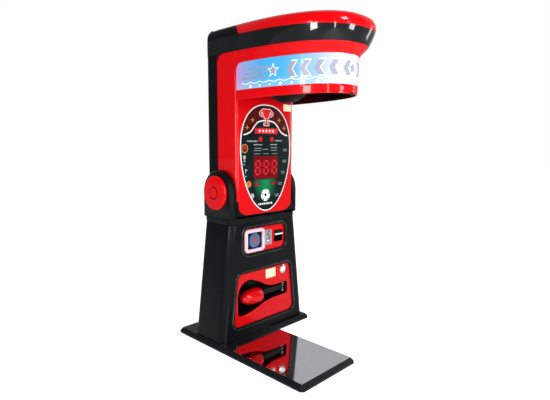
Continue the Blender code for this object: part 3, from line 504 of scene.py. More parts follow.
def finish(name, bm, look, body, replaced=(), sharp=38):
    """A mesh, drawn in its place, as a piece that rides on a body and may stand for CAD nodes."""
    bmesh.ops.remove_doubles(bm, verts=bm.verts[:], dist=1e-6)
    bmesh.ops.recalc_face_normals(bm, faces=bm.faces[:])
    mesh = bpy.data.meshes.new(name)
    bm.to_mesh(mesh)
    bm.free()
    mesh.shade_smooth()
    mesh.set_sharp_from_angle(angle=radians(sharp))
    mesh.materials.append(LOOKS[look].made)
    made = bpy.data.objects.new(name, mesh)
    bpy.context.scene.collection.objects.link(made)
    if body:
        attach(made, body)
        if replaced:
            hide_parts(*replaced)
    return made


def quads(bm, pairs, wide, wrap=True):
    """Four-sided faces between rows of vertices."""
    for low, high in pairs:
        for i in range(wide if wrap else wide - 1):
            j = (i + 1) % wide
            bm.faces.new((low[i], low[j], high[j], high[i]))


def skin(name, loops, look, body, replaced=(), closed=False):
    """A skin over loops of equal length, with filled ends, or bent round to meet its own start."""
    bm = bmesh.new()
    rows = [[bm.verts.new(p) for p in loop] for loop in loops]
    pairs = list(zip(rows, rows[1:]))
    if closed:
        pairs.append((rows[-1], rows[0]))
    else:
        bm.faces.new(rows[0])
        bm.faces.new(rows[-1][::-1])
    quads(bm, pairs, len(rows[0]))
    return finish(name, bm, look, body, replaced)


def turned(name, centre, axis, profile, look, body, replaced=(), sides=64):
    """A turned piece: (radius, distance along the axis) pairs about an axis through the centre."""
    across = {"X": (centre[1], centre[2]), "Y": (centre[0], centre[2]), "Z": (centre[0], centre[1])}[axis]
    along = centre["XYZ".index(axis)]
    loops = [lift(arc(across, r, 0, 360 * (1 - 1 / sides), sides - 1), axis, along + h) for r, h in profile]
    return skin(name, loops, look, body, replaced)


def plate(name, outline, axis, back, front, edge, look, body, replaced=(), steps=3):
    """A flat plate whose front edge is rounded."""
    way = 1 if front > back else -1
    loops = [lift(outline, axis, back)]
    for i in range(steps + 1):
        turn = 0.5 * pi * i / steps
        loops.append(lift(offset(outline, edge * (1 - cos(turn))), axis,
                          front - way * edge * (1 - sin(turn))))
    return skin(name, loops, look, body, replaced)


def settle(piece):
    """Makes what the modifiers give into the piece's own mesh."""
    piece.data = bpy.data.meshes.new_from_object(piece.evaluated_get(bpy.context.evaluated_depsgraph_get()))
    piece.modifiers.clear()


def carve(piece, *cuts):
    """Cuts holes along Y for good, each given as an outline and the two places it reaches."""
    cutters = [skin("cutter", [lift(outline, "Y", start), lift(outline, "Y", end)], "ink", None)
               for outline, start, end in cuts]
    for cutter in cutters:
        step = piece.modifiers.new("cut", "BOOLEAN")
        step.operation = "DIFFERENCE"
        step.solver = "EXACT"
        step.object = cutter
    name = piece.data.name
    settle(piece)
    piece.data.name = name
    piece.data.set_sharp_from_angle(angle=radians(38))
    for cutter in cutters:
        bpy.data.objects.remove(cutter)


def spread(count, size, edge=0.0):
    """Fractions along a strip, closer at its ends, each with how far its rounded edge dips there."""
    near = [edge * share / size for share in (0.0, 0.12, 0.4, 1.0)] if edge else [0.0]
    inner = [near[-1] + (1 - 2 * near[-1]) * i / count for i in range(1, count)]
    fractions = near + inner + [1 - f for f in reversed(near)]
    dips = []
    for f in fractions:
        short = max(0.0, edge - min(f, 1 - f) * size)
        dips.append(edge - sqrt(max(0.0, edge * edge - short * short)))
    return list(zip(fractions, dips))


def shell(name, grid, look, body, replaced=(), thick=0.003, closed=False, dips=None):
    """A thick sheet over rows of points. It is closed round its rim, and its edges can dip."""
    count, wide = len(grid), len(grid[0])
    grid = [[Vector(p) for p in row] for row in grid]
    middle = sum((p for row in grid for p in row), Vector()) / (count * wide)
    normals, lean = [], 0.0
    for r in range(count):
        line = []
        for c in range(wide):
            left = grid[r][(c - 1) % wide] if closed or c else grid[r][c]
            right = grid[r][(c + 1) % wide] if closed or c < wide - 1 else grid[r][c]
            normal = (right - left).cross(grid[min(r + 1, count - 1)][c] - grid[max(r - 1, 0)][c])
            normal = normal.normalized() if normal.length > 1e-12 else Vector((0, 0, 1))
            lean += normal.dot(grid[r][c] - middle)
            line.append(normal)
        normals.append(line)
    out = 1 if lean > 0 else -1
    row_dip, column_dip = dips or ([0.0] * count, [0.0] * wide)
    bm = bmesh.new()
    top, under = [], []
    for r in range(count):
        pairs = list(zip(grid[r], normals[r], column_dip))
        top.append([bm.verts.new(p - n * out * max(d, row_dip[r])) for p, n, d in pairs])
        under.append([bm.verts.new(p - n * out * thick) for p, n, _ in pairs])
    span = wide if closed else wide - 1
    for r in range(count - 1):
        for c in range(span):
            d = (c + 1) % wide
            bm.faces.new((top[r][c], top[r][d], top[r + 1][d], top[r + 1][c]))
            bm.faces.new((under[r][c], under[r + 1][c], under[r + 1][d], under[r][d]))
    for r in (0, count - 1):
        for c in range(span):
            d = (c + 1) % wide
            bm.faces.new((top[r][c], under[r][c], under[r][d], top[r][d]))
    if not closed:
        for c in (0, wide - 1):
            for r in range(count - 1):
                bm.faces.new((top[r][c], top[r + 1][c], under[r + 1][c], under[r][c]))
    return finish(name, bm, look, body, replaced)


def tube(name, points, radius, look, body, closed=False, sides=8):
    """A round bar along a path."""
    points = [Vector(p) for p in points]
    count = len(points)
    loops, side = [], None
    for i, point in enumerate(points):
        before = points[i - 1] if closed or i else point
        after = points[(i + 1) % count] if closed or i < count - 1 else point
        ahead = (after - before).normalized()
        guess = side or (Vector((0, 0, 1)) if abs(ahead.z) < 0.9 else Vector((1, 0, 0)))
        side = (guess - ahead * guess.dot(ahead)).normalized()
        other = ahead.cross(side)
        turns = [2 * pi * k / sides for k in range(sides)]
        loops.append([point + (side * cos(a) + other * sin(a)) * radius for a in turns])
    skin(name, loops, look, body, closed=closed)


# ---- flat graphics ------------------------------------------------------------------------------
def star(x, z, size, points=5, waist=0.42):
    """A star, or a spark where it has few points."""
    corners = []
    for i in range(2 * points):
        reach = size if i % 2 == 0 else size * waist
        angle = radians(90 + 180 * i / points)
        corners.append((x + reach * cos(angle), z + reach * sin(angle)))
    return corners


def bar(x, z, wide, high, turn=0.0):
    """A turned rectangle."""
    a = radians(turn)
    return [(x + dx * cos(a) - dz * sin(a), z + dx * sin(a) + dz * cos(a))
            for dx, dz in ((-wide / 2, -high / 2), (wide / 2, -high / 2), (wide / 2, high / 2),
                           (-wide / 2, high / 2))]


def disc(x, z, radius, steps=24):
    return [(x + radius * cos(2 * pi * i / steps), z + radius * sin(2 * pi * i / steps))
            for i in range(steps)]


def stroke(points, width, closed=False):
    """A line of a width, as a row of small four-sided shapes."""
    left, right = offset(points, width / 2, closed), offset(points, -width / 2, closed)
    count = len(points)
    return [[left[i], left[(i + 1) % count], right[(i + 1) % count], right[i]]
            for i in range(count if closed else count - 1)]


SEGMENTS = {"0": "abcdef", "5": "afgcd", "6": "afgedc", "7": "abc", "8": "abcdefg", "9": "abcdfg"}


def digit(sign, x, z, wide, high, thick, slant=0.0):
    """One seven-segment figure with its middle at a place."""
    w, h = wide / 2, high / 2
    long, tall = wide - 1.3 * thick, h - 1.2 * thick
    parts = {"a": (0, h, long, thick), "g": (0, 0, long, thick), "d": (0, -h, long, thick),
             "f": (-w, h / 2, thick, tall), "b": (w, h / 2, thick, tall),
             "e": (-w, -h / 2, thick, tall), "c": (w, -h / 2, thick, tall)}
    shapes = []
    for key in SEGMENTS[sign]:
        px, pz, a, b = parts[key]
        shapes.append([(x + u + slant * v, z + v) for u, v in bar(px, pz, a, b)])
    return shapes


def number(text, x, z, wide, high, thick):
    """A row of figures."""
    pitch = wide * 1.55
    start = x - pitch * (len(text) - 1) / 2
    return [shape for i, sign in enumerate(text) for shape in digit(sign, start + i * pitch, z, wide, high,
                                                                    thick)]


def inlay(name, shapes, place, look, body, proud=0.0003, deep=0.0006, cuts=0, replaced=()):
    """Thin printed shapes on a surface. place(a, b, out) gives the point that lies out from the surface."""
    bm = bmesh.new()
    for shape in shapes:
        face = bm.faces.new([bm.verts.new((a, b, 0)) for a, b in shape])
        face.normal_update()
        if face.normal.z < 0:
            face.normal_flip()
    bmesh.ops.remove_doubles(bm, verts=bm.verts[:], dist=1e-6)
    if cuts:
        bmesh.ops.triangulate(bm, faces=bm.faces[:])
        bmesh.ops.subdivide_edges(bm, edges=bm.edges[:], cuts=cuts, use_grid_fill=True)
    grown = bmesh.ops.extrude_face_region(bm, geom=bm.faces[:])["geom"]
    raised = {v for v in grown if isinstance(v, bmesh.types.BMVert)}
    for vert in bm.verts:
        vert.co = place(vert.co.x, vert.co.y, proud if vert in raised else proud - deep)
    finish(name, bm, look, body, replaced, 60)


def on_face(y):
    """Places flat graphics on a surface that looks towards the player."""
    return lambda a, b, out: Vector((a, y - out, b))


# ---- the head's surface -------------------------------------------------------------------------
def level(v):
    """Height, flare and dip of the head's surface at a level number, smooth between the edges."""
    low = min(int(v), len(LEVELS) - 2)
    t = v - low
    a, b = LEVELS[low], LEVELS[low + 1]
    flares = [LEVELS[min(max(low + k, 0), len(LEVELS) - 1)][1] for k in (-1, 0, 1, 2)]
    # the skirt's lower edge is a corner, so no curve runs through it
    if low == 2:
        flares[0] = flares[1]
    if low == 1:
        flares[3] = flares[2]
    inset = ROOF_INSET.get(low, 0) * (1 - t) + ROOF_INSET.get(low + 1, 0) * t
    return a[0] * (1 - t) + b[0] * t, spline(flares, t), a[2] * (1 - t) + b[2] * t, inset


def nose_path(flare, inset, tail):
    """The head's plan at a flare, from its left end, round the front, to its right end."""
    steps = 96
    points = [(-HALF, tail)]
    for i in range(steps + 1):
        turn = pi * i / steps
        wide = abs(cos(turn)) ** (2 / NOSE_POWER)
        deep = sin(turn) ** (2 / NOSE_POWER) if 0 < i < steps else 0.0
        side = -1 if i < steps / 2 else 1
        points.append((side * wide * (HALF + flare * deep), NOSE_START - (NOSE + flare) * deep))
    points.append((HALF, tail))
    return offset(points, inset, closed=False) if inset else points


def sample(path, fractions):
    """Points at fractions of a path's length."""
    run = [0.0]
    for a, b in zip(path, path[1:]):
        run.append(run[-1] + hypot(b[0] - a[0], b[1] - a[1]))
    found, k = [], 0
    for f in fractions:
        want = min(max(f, 0.0), 1.0) * run[-1]
        while k < len(path) - 2 and run[k + 1] < want:
            k += 1
        t = (want - run[k]) / max(run[k + 1] - run[k], 1e-9)
        found.append((path[k][0] + (path[k + 1][0] - path[k][0]) * t,
                      path[k][1] + (path[k + 1][1] - path[k][1]) * t))
    return found


def height(z, dip, y):
    """The height of the head's surface, which dips towards the nose."""
    return z - dip * max(0.0, NOSE_START - y) / NOSE


def head_row(v, fractions, inset):
    z, flare, dip, own = level(v)
    path = nose_path(flare, inset + own, FACE - GAP)
    return [(x, y, height(z, dip, y)) for x, y in sample(path, fractions)]


def head_band(name, v_low, v_high, look, replaced, inset=0.0, edge=0.0, thick=0.004, rows=10,
              low_at=None):
    """A strip of the head between two levels. low_at can bend its lower edge near the ends."""
    length = 1.75                       # of the strip, roughly
    tall = LEVELS[int(v_high + 0.999)][0] - LEVELS[int(v_low)][0]
    across = spread(128, length, edge)
    up = spread(rows, tall, edge)
    fractions = [f for f, _ in across]
    if low_at:
        fractions = sorted(set(fractions + [k * 0.004 for k in range(1, 12)]
                               + [1 - k * 0.004 for k in range(1, 12)]))
        across = [(f, 0.0) for f in fractions]
    grid = []
    for f, _ in up:
        line = []
        if low_at:
            for u in fractions:
                start = low_at(min(u, 1 - u) * length)
                line.append(head_row(start + (v_high - start) * f, [u], inset)[0])
        else:
            line = head_row(v_low + (v_high - v_low) * f, fractions, inset)
        grid.append(line)
    dips = ([d for _, d in up], [d for _, d in across])
    return shell(name, grid, look, "head", replaced, thick, dips=dips)


# ---- the head -----------------------------------------------------------------------------------
def column_red():
    """The red front and sides, one bent sheet with rounded corners."""
    radius = COLUMN_CORNER
    path = ([(-HALF, SPLIT - (SPLIT - FACE - radius) * i / 10) for i in range(10)]
            + arc((-HALF + radius, FACE + radius), radius, 180, 270, 8)
            + [(-HALF + radius + (HALF - radius) * i / 8, FACE) for i in range(1, 8)])
    path = path + [(0.0, FACE)] + [(-x, y) for x, y in reversed(path)]
    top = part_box("column_shell")[1].z
    grid = []
    for f, _ in spread(30, top - TOE, 0.002):
        row = []
        for x, y in path:
            low = TOE if y < 0 else PIVOT - sqrt(max(HUB * HUB - y * y, 0.0))
            row.append((x, y, low + (top - low) * f))
        grid.append(row)
    shell("column_red", grid, "red", "head", replaced=("column_shell",), thick=0.004)
    for side, sign in (("left", -1), ("right", 1)):
        reach = 0.060
        curve = [(SPLIT - 0.002 - reach + reach * sin(0.5 * pi * i / 12),
                  top - reach + reach * cos(0.5 * pi * i / 12))
                 for i in range(13)]
        corner = [[curve[i], curve[i + 1], (SPLIT - 0.002, top)] for i in range(12)]
        inlay("column_corner_" + side, corner, lambda a, b, out, s=sign: Vector((s * (HALF + out), a, b)),
              "grain", "head", 0.0004)


def toe_trim():
    """The black moulding round the toe of the column, with a rolled inner edge."""
    low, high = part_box("column_toe_trim")
    corner, tip, steps = 0.100, 0.0022, 16
    inner = HALF - tip - corner
    strip = TOE + 0.005
    curve = ([(-HALF + tip, strip + corner + 0.002)] + arc((-inner, strip + corner), corner, 180, 270, steps)
             + arc((inner, strip + corner), corner, 270, 360, steps) + [(HALF - tip, strip + corner + 0.002)])
    outer = [(-HALF, high.z)] + [(-HALF, TOE + (high.z - TOE) * (1 - i / steps)) for i in range(steps + 1)]
    outer += [(HALF, TOE + (high.z - TOE) * i / steps) for i in range(steps + 1)] + [(HALF, high.z)]
    front, back = low.y, FACE - 0.0003
    rolled = offset(curve, -0.0030, closed=False)
    loops = [lift(outer, "Y", back), lift(outer, "Y", front), lift(rolled, "Y", front),
             lift(offset(curve, -0.0009, closed=False), "Y", front + 0.0009), lift(curve, "Y", front + 0.003),
             lift(curve, "Y", back)]
    bm = bmesh.new()
    rows = [[bm.verts.new(p) for p in loop] for loop in loops]
    quads(bm, zip(rows, rows[1:] + rows[:1]), len(outer), wrap=False)
    for i in (0, -1):
        bm.faces.new([row[i] for row in rows])
    finish("toe_moulding", bm, "grain", "head", replaced=("column_toe_trim",))
    radius = COLUMN_CORNER
    for side, sign in (("left", -1), ("right", 1)):
        path = ([(-HALF, -k * FLANK_STEP) for k in range(4)]
                + arc((-HALF + radius, FACE + radius), radius, 180, 262, 8))
        path = [(-sign * x, y) for x, y in offset(path, -0.0012, closed=False)]
        path = path if sign < 0 else path[::-1]
        grid = [[(x, y, TOE + 0.0005 + (high.z - TOE - 0.0005) * k / 8) for x, y in path] for k in range(9)]
        shell("toe_corner_" + side, grid, "grain", "head", (), 0.0010)


def full_ring(v):
    """One ring of the roof or the black band: the nose, then the flanks and the rounded back."""
    z, flare, dip, inset = level(v)
    front = nose_path(flare, 0.0, NOSE_START)[1:-1]
    radius = 0.014
    side = [(HALF, NOSE_START + (REAR - radius - NOSE_START) * i / 8) for i in range(1, 8)]
    back = arc((HALF - radius, REAR - radius), radius, 0, 90, 6)
    middle = [(HALF - radius - (HALF - radius) * 2 * i / 10, REAR) for i in range(1, 10)]
    middle = [(x, y) for x, y in middle if abs(x) < HALF - radius - 0.005]
    left = [(-x, y) for x, y in reversed(side + back)]
    ring = offset(front + side + back + middle + left,
                  inset) if inset else front + side + back + middle + left
    share = max(0.0, (z - BAND_TOP_Z) / (TOP_Z - BAND_TOP_Z))
    return [(x, y, height(z, dip, y) - ROOF_FALL * share * max(0.0, y - FALL_START)) for x, y in ring]


def head_black_band():
    rows = [full_ring(3 + f) for f, _ in spread(8, BAND_TOP_Z - BAND_Z, 0.002)]
    count = len(rows)
    shell("head_black_band", rows, "smooth", "head", replaced=("head_band",), closed=True,
          dips=([0.0015] + [0.0] * (count - 2) + [0.0015], [0.0] * len(rows[0])))


def roof_half(name, look, replaced, keep_front):
    """One side of the roof, cut along the leaning line between the red crown and the black cap."""
    rows = [full_ring(4 + 4 * i / 18) for i in range(19)]
    last = rows[-1]
    for t in (0.12, 0.28, 0.46, 0.64, 0.82, 0.93, 1.0):
        bulge = 0.0008 * (1 - (1 - t) ** 2)
        rows.append([(x * (1 - t), y, z + bulge) for x, y, z in last])
    bm = bmesh.new()
    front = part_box("head_crown")[0].y
    made = [[bm.verts.new((x, max(y, front), z)) for x, y, z in row] for row in rows]
    bm.faces.new(made[0])
    quads(bm, zip(made, made[1:]), len(last))
    bmesh.ops.remove_doubles(bm, verts=bm.verts[:], dist=2e-5)
    lean = Vector((0, -0.105, 0.062)).normalized()          # across the dividing line, towards the nose
    place = Vector((0, NOSE_START + 0.046, TOP_Z + 0.007)) + lean * (0.0 if keep_front else -GAP)
    cut = bmesh.ops.bisect_plane(bm, geom=bm.verts[:] + bm.edges[:] + bm.faces[:], plane_co=place,
                                 plane_no=lean,
                                 clear_inner=keep_front, clear_outer=not keep_front)
    edges = [e for e in cut["geom_cut"] if isinstance(e, bmesh.types.BMEdge)]
    bmesh.ops.contextual_create(bm, geom=edges)
    finish(name, bm, look, "head", replaced=replaced)


def head_shell():
    radius = 0.050
    tall = SKIRT_Z - SIGN_Z

    def skirt_low(away):
        if away >= radius:
            return 2.0
        return 2.0 - (radius - sqrt(radius * radius - (radius - away) ** 2)) / tall

    head_band("ring_red", 0, 1, "red", ("ring_lower",), edge=0.003, thick=0.008, rows=5)
    head_band("sign_film", 1, 2, "sign", ("sign_band",), inset=0.003, rows=8)
    head_band("head_skirt_red", 2, 3, "red", ("head_skirt",), edge=0.002, thick=0.0027,
              low_at=skirt_low)
    head_band("head_lining", 0, 2, "smooth", (), inset=0.0083, thick=0.0015, rows=6)
    head_black_band()
    roof_half("crown_red", "red", ("head_crown",), True)
    roof_half("rear_cap_black", "grain", ("head_rear_cap",), False)
    latch = [(-0.018, RING_Z + 0.002), (0.016, RING_Z + 0.002), (0.024, RING_Z + 0.018),
             (-0.010, RING_Z + 0.018)]
    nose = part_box("ring_lower")[0].y
    inlay("latch_slot", [latch], on_face(nose + 0.0002), "ink", "head", 0.0006)


def on_sign(a, b, out):
    """A place on the sign: a metres round from the middle of the nose, b metres up from its lower edge."""
    tall = SKIRT_Z - SIGN_Z
    z, flare, dip, _ = level(1 + b / tall)
    path = nose_path(flare, 0.003, FACE - GAP)
    length = sum(hypot(q[0] - p[0], q[1] - p[1]) for p, q in zip(path, path[1:]))
    f = 0.5 + a / length
    before, here, after = sample(path, [f - 0.002, f, f + 0.002])
    along = Vector((after[0] - before[0], after[1] - before[1])).normalized()
    return Vector((here[0] + along.y * out, here[1] - along.x * out, height(z, dip, here[1])))


def chevron(a, b, high, way=1, lean=0.5):
    """A leaning arrow."""
    wide = high * 0.42
    tip = way * lean * high
    return [(a, b), (a + wide, b), (a + wide + tip, b + high / 2), (a + wide, b + high), (a, b + high),
            (a + tip, b + high / 2)]


def sign_graphics():
    """Generic stripes, stars and chevrons where the photo's machine has its name."""
    white, grey, pale = [], [], []
    for side in (-1, 1):
        for k in range(3):
            low = 0.060 + 0.028 * k
            grey.append([(side * (0.80 - 0.030 * k), low), (side * (0.59 - 0.012 * k), low),
                         (side * (0.585 - 0.012 * k), low + 0.012), (side * (0.81 - 0.030 * k), low + 0.012)])
        white.append(star(side * 0.53, 0.095, 0.047))
        grey.append(star(side * 0.53, 0.095, 0.036))
    for k in range(-5, 6):
        a = 0.088 * k
        if k == 0:
            white.append(star(0, 0.095, 0.050))
            grey.append(star(0, 0.095, 0.040))
            continue
        way = 1 if k > 0 else -1
        start = a - way * 0.040
        white.append(chevron(start - way * 0.004, 0.044, 0.100, way, 0.34))
        grey.append(chevron(start, 0.050, 0.088, way, 0.34))
    tops = [(-0.80 + 0.04 * i, 0.028 if i % 2 else 0.040) for i in range(41)]
    pale.extend(stroke(tops, 0.004))
    for i in range(-9, 10):
        pale.append(disc(0.082 * i + 0.02, 0.014, 0.007 if i % 3 else 0.010, 16))
    inlay("sign_white", white, on_sign, "white_lit", "head", 0.0003, 0.0006, cuts=2)
    inlay("sign_grey", grey, on_sign, "grey", "head", 0.0006, 0.0006, cuts=2)
    inlay("sign_pale", pale, on_sign, "white_lit", "head", 0.0003, 0.0006, cuts=1)


# ---- the display --------------------------------------------------------------------------------
EGG_LOW_Z = 0.932
EGG_TOP_Z = 1.686
EGG_MIDDLE_Z = 1.3844
DISPLAY_Y = FACE - 0.0008


def egg(grow):
    """The display's outline."""
    steps = 48
    wide = HALF - 0.037
    points = []
    for i in range(2 * steps):
        turn = pi * i / steps
        rise, power = (EGG_TOP_Z - EGG_MIDDLE_Z, 2.3) if i < steps else (EGG_MIDDLE_Z - EGG_LOW_Z, 1.9)
        across = abs(cos(turn)) ** (2 / power)
        side = 1 if cos(turn) > 0 else -1
        high = abs(sin(turn)) ** (2 / power) * (1 if i < steps else -1)
        points.append((side * across * (wide + grow), EGG_MIDDLE_Z + high * (rise + grow)))
    return points


def contour():
    """The bent line under the display's maroon top."""
    half = [(0, 1.578), (0.075, 1.567), (0.112, 1.540), (0.148, 1.500), (0.186, 1.482), (0.219, 1.474)]
    points = [(-x, z) for x, z in reversed(half[1:])] + half
    return smooth(points, 5, closed=False)


def cup(x, z, size, grow=0.0):
    """A generic two-handled trophy cup, as a few outlines that meet."""
    s = size
    bowl = [(x - 0.34 * s - grow, z + 0.5 * s + grow), (x - 0.30 * s - grow, z + 0.18 * s),
            (x - 0.16 * s - grow, z - 0.06 * s - grow), (x + 0.16 * s + grow, z - 0.06 * s - grow),
            (x + 0.30 * s + grow, z + 0.18 * s), (x + 0.34 * s + grow, z + 0.5 * s + grow)]
    stem = bar(x, z - 0.22 * s, 0.12 * s + 2 * grow, 0.34 * s + 2 * grow)
    foot = bar(x, z - 0.44 * s, 0.44 * s + 2 * grow, 0.12 * s + 2 * grow)
    return [bowl, stem, foot]


def handles(x, z, size, width):
    """A cup's two handles."""
    shapes = []
    for side in (-1, 1):
        curve = [(x + side * (0.31 + 0.24 * sin(pi * i / 10)) * size, z + (0.42 - 0.36 * i / 10) * size)
                 for i in range(11)]
        shapes.extend(stroke(curve, width))
    return shapes


def decal(name, shapes, look, proud=0.0003, replaced=()):
    """Printed shapes on the display."""
    inlay(name, shapes, on_face(DISPLAY_Y), look, "head", proud, replaced=replaced)


def display():
    """The printed panel, its raised white outline and all that is printed on it."""
    face, front = FACE, DISPLAY_Y
    skin("display_field", [lift(egg(-0.001), "Y", face + 0.004), lift(egg(-0.001), "Y", front)], "display",
         "head", replaced=("display_panel",))
    rim = [(face + 0.001, 0.0042), (front - 0.0012, 0.0042), (front - 0.0020, 0.0026),
           (front - 0.0020, -0.0016),
           (front - 0.0012, -0.0032), (face + 0.001, -0.0032)]
    skin("display_rim", [lift(egg(grow), "Y", y) for y, grow in rim], "white", "head",
         replaced=("display_bezel",),
         closed=True)
    crest = contour()
    top = [p for p in egg(-0.012) if p[1] > 1.478]
    field = sorted(top, key=lambda p: p[0])
    strip = []
    for (x0, z0), (x1, z1) in zip(crest, crest[1:]):
        strip.append([(x0, z0), (x1, z1), (x1, ceiling(field, x1)), (x0, ceiling(field, x0))])
    decal("display_maroon", strip, "maroon", 0.0002)
    decal("display_contour", stroke(crest, 0.009), "white", 0.0005)
    crest_art()
    tally_art()
    icon_art()
    windows()
    ball_art()


def ceiling(field, x):
    """The height of the display's rim above a place across it."""
    for (x0, z0), (x1, z1) in zip(field, field[1:]):
        if x0 <= x <= x1:
            return z0 + (z1 - z0) * (x - x0) / max(x1 - x0, 1e-9)
    return field[0][1]


def crest_art():
    """The red cup, its ribbon and the four gold stars."""
    decal("crest_back", cup(0, 1.600, 0.112, 0.004) + handles(0, 1.600, 0.112, 0.020), "white",
          0.0005)
    decal("crest_cup", cup(0, 1.600, 0.112) + handles(0, 1.600, 0.112, 0.011), "red_ink",
          0.0008)
    decal("crest_ribbon", [[(-0.112, 1.484), (0.112, 1.484), (0.112, 1.524), (-0.112, 1.524)]], "red_ink",
          0.0007)
    marks = [star(x, 1.504, 0.014) for x in (-0.066, -0.033, 0.0, 0.033, 0.066)]
    decal("crest_marks", marks, "white", 0.0010)
    gold = [star(x, z, 0.021, 4, 0.34) for x, z in ((-0.134, 1.578), (-0.186, 1.524), (0.132, 1.585),
                                                    (0.184, 1.529))]
    decal("crest_stars", gold, "gold", 0.0005)


def tally_art():
    """Short pale bars where the photo's machine has its small print."""
    rows = [(-0.188, -0.083, 1.431, 0.010), (0.087, 0.160, 1.436, 0.010), (-0.127, -0.038, 1.407, 0.008),
            (0.036, 0.111, 1.408, 0.008), (-0.116, -0.053, 1.381, 0.006), (0.044, 0.111, 1.385, 0.006),
            (-0.123, -0.049, 1.366, 0.005), (-0.038, 0.020, 1.374, 0.005), (0.044, 0.111, 1.366, 0.005),
            (-0.123, -0.060, 1.3425, 0.004), (-0.034, 0.026, 1.3425, 0.004), (0.052, 0.116, 1.3425, 0.004)]
    bars = []
    for x0, x1, z, high in rows:
        pieces = max(2, round((x1 - x0) / (1.6 * high)))
        step = (x1 - x0) / pieces
        for i in range(pieces):
            bars.append(bar(x0 + step * (i + 0.5), z, step * 0.72, high * (1.0 if i % 3 else 0.8)))
    decal("display_bars", bars, "pale")


def icon_art():
    """The left column of awards and the right column of scale figures."""
    gold = [disc(-0.209, 1.380, 0.031), disc(-0.173, 1.131, 0.024)]
    decal("icons_gold", gold, "gold")
    decal("icons_dark", [disc(-0.209, 1.380, 0.023)], "ink", 0.0006)
    decal("icons_medal", [star(-0.209, 1.382, 0.018)] + cup(-0.173, 1.132, 0.028), "red_ink",
          0.0009)
    pale = cup(-0.212, 1.310, 0.042) + [disc(-0.214, 1.271, 0.005), disc(-0.200, 1.188, 0.005),
                                        disc(-0.139, 1.047, 0.018)]
    pale.append([(-0.205, 1.208), (-0.201, 1.208), (-0.201, 1.240), (-0.205, 1.240)])
    pale.append([(-0.200, 1.222), (-0.182, 1.230), (-0.200, 1.240)])
    decal("icons_pale", pale, "pale", 0.0004)
    figures = []
    for text, x, z in (("999", 0.196, 1.367), ("800", 0.190, 1.285), ("700", 0.170, 1.202),
                       ("600", 0.146, 1.120),
                       ("500", 0.110, 1.036)):
        figures.extend(number(text, x, z, 0.0085, 0.018, 0.0026))
    decal("scale_figures", figures, "pale")


def windows():
    """The score window, its three figures and the two small windows."""
    low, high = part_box("led_display")
    decal("window_edge", [inside("led_display", -0.006, 0.006, 4)], "ink", 0.0003)
    decal("score_window", [inside("led_display", 0.0, 0.004, 4)], "led", 0.0006,
          replaced=("led_display",))
    middle = 0.5 * (low.z + high.z)
    figures = [s for x in (-0.084, -0.002, 0.080) for s in digit("8", x, middle, 0.044, 0.094, 0.0125, 0.05)]
    decal("score_figures", figures, "segment", 0.0009)
    small = [rounded((-0.124, -0.060), (1.117, 1.135), 0.003, 3),
             rounded((0.041, 0.101), (1.118, 1.136), 0.003, 3)]
    decal("small_windows", small, "led", 0.0006)
    figures = [s for x0 in (-0.092, 0.071) for s in number("888", x0, 1.1265, 0.007, 0.012, 0.002)]
    decal("small_figures", figures, "segment", 0.0009)


def ball_art():
    """A plain football and the row of marks below it."""
    x, z, radius = -0.008, 1.045, 0.043
    decal("football", [disc(x, z, radius, 40)], "white_lit", 0.0004)
    dark = [disc(x, z, 0.0135, 5)]
    seams = []
    for i in range(5):
        a = radians(90 + 72 * i)
        dark.append([(x + cos(a + da) * r, z + sin(a + da) * r)
                     for r, da in ((0.0415, -0.26), (0.0415, 0.26), (0.031, 0.16), (0.031, -0.16))])
        seams.append(bar(x + 0.022 * cos(a), z + 0.022 * sin(a), 0.018, 0.0016, degrees(a)))
    decal("football_patches", dark + seams, "ink", 0.0007)
    marks = [bar(-0.076 + 0.0185 * i, 0.982, 0.012, 0.014 if i % 2 else 0.010) for i in range(8)]
    decal("display_marks", marks, "white", 0.0004)
    for node in ("mode_button_left", "mode_button_right"):
        low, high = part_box(node)
        decal(node + "_ring", stroke(disc(0.5 * (low.x + high.x), 0.5 * (low.z + high.z), 0.016, 24), 0.004,
                                     True),
              "red_ink", 0.0006)


# ---- the yoke -----------------------------------------------------------------------------------
def casing_half(z):
    """Half width of the pedestal at a height."""
    low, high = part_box("pedestal_casing")
    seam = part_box("yoke_collar")[1].x - 0.0042
    return high.x + (seam - high.x) * (z - low.z) / (high.z - low.z)


def trapezium(low, high, half_low, half_high, radius):
    """A rounded trapezium, anticlockwise from its lower left."""
    steps = 8
    corners = [(-half_low, low), (half_low, low), (half_high, high), (-half_high, high)]
    points = []
    for i, corner in enumerate(corners):
        before = (Vector(corners[i - 1]) - Vector(corner)).normalized()
        after = (Vector(corners[(i + 1) % 4]) - Vector(corner)).normalized()
        half_turn = 0.5 * before.angle(after)
        middle = Vector(corner) + (before + after).normalized() * (radius / sin(half_turn))
        start = Vector(corner) + before * (radius / sin(half_turn) * cos(half_turn)) - middle
        end = Vector(corner) + after * (radius / sin(half_turn) * cos(half_turn)) - middle
        sweep = start.angle(end)
        turn = Vector((-start.y, start.x))
        points += [tuple(middle + start * cos(sweep * k / steps) + turn * sin(sweep * k / steps))
                   for k in range(steps + 1)]
    return points


def window_outlines():
    """The windows for the kicker panel and for the control panel, as seen by the player."""
    low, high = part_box("kicker_panel")
    low_z, high_z = low.z + WINDOW_MARGIN, high.z - WINDOW_MARGIN
    kick = trapezium(low_z, high_z, high.x - WINDOW_MARGIN, HALF - 0.018, 0.045)
    return kick, inside("control_panel", WINDOW_MARGIN, 0.04)


def rim(name, outline, y, wide, deep):
    """A soft raised bead round a window, standing out towards the player."""
    loops = []
    for k in range(9):
        turn = pi * k / 8
        loops.append(lift(offset(outline, -0.5 * wide * (1 - cos(turn))), "Y", y - deep * sin(turn)))
    loops.append(lift(offset(outline, -wide), "Y", y + 0.003))
    loops.append(lift(outline, "Y", y + 0.003))
    skin(name, loops, "smooth", "root", closed=True)


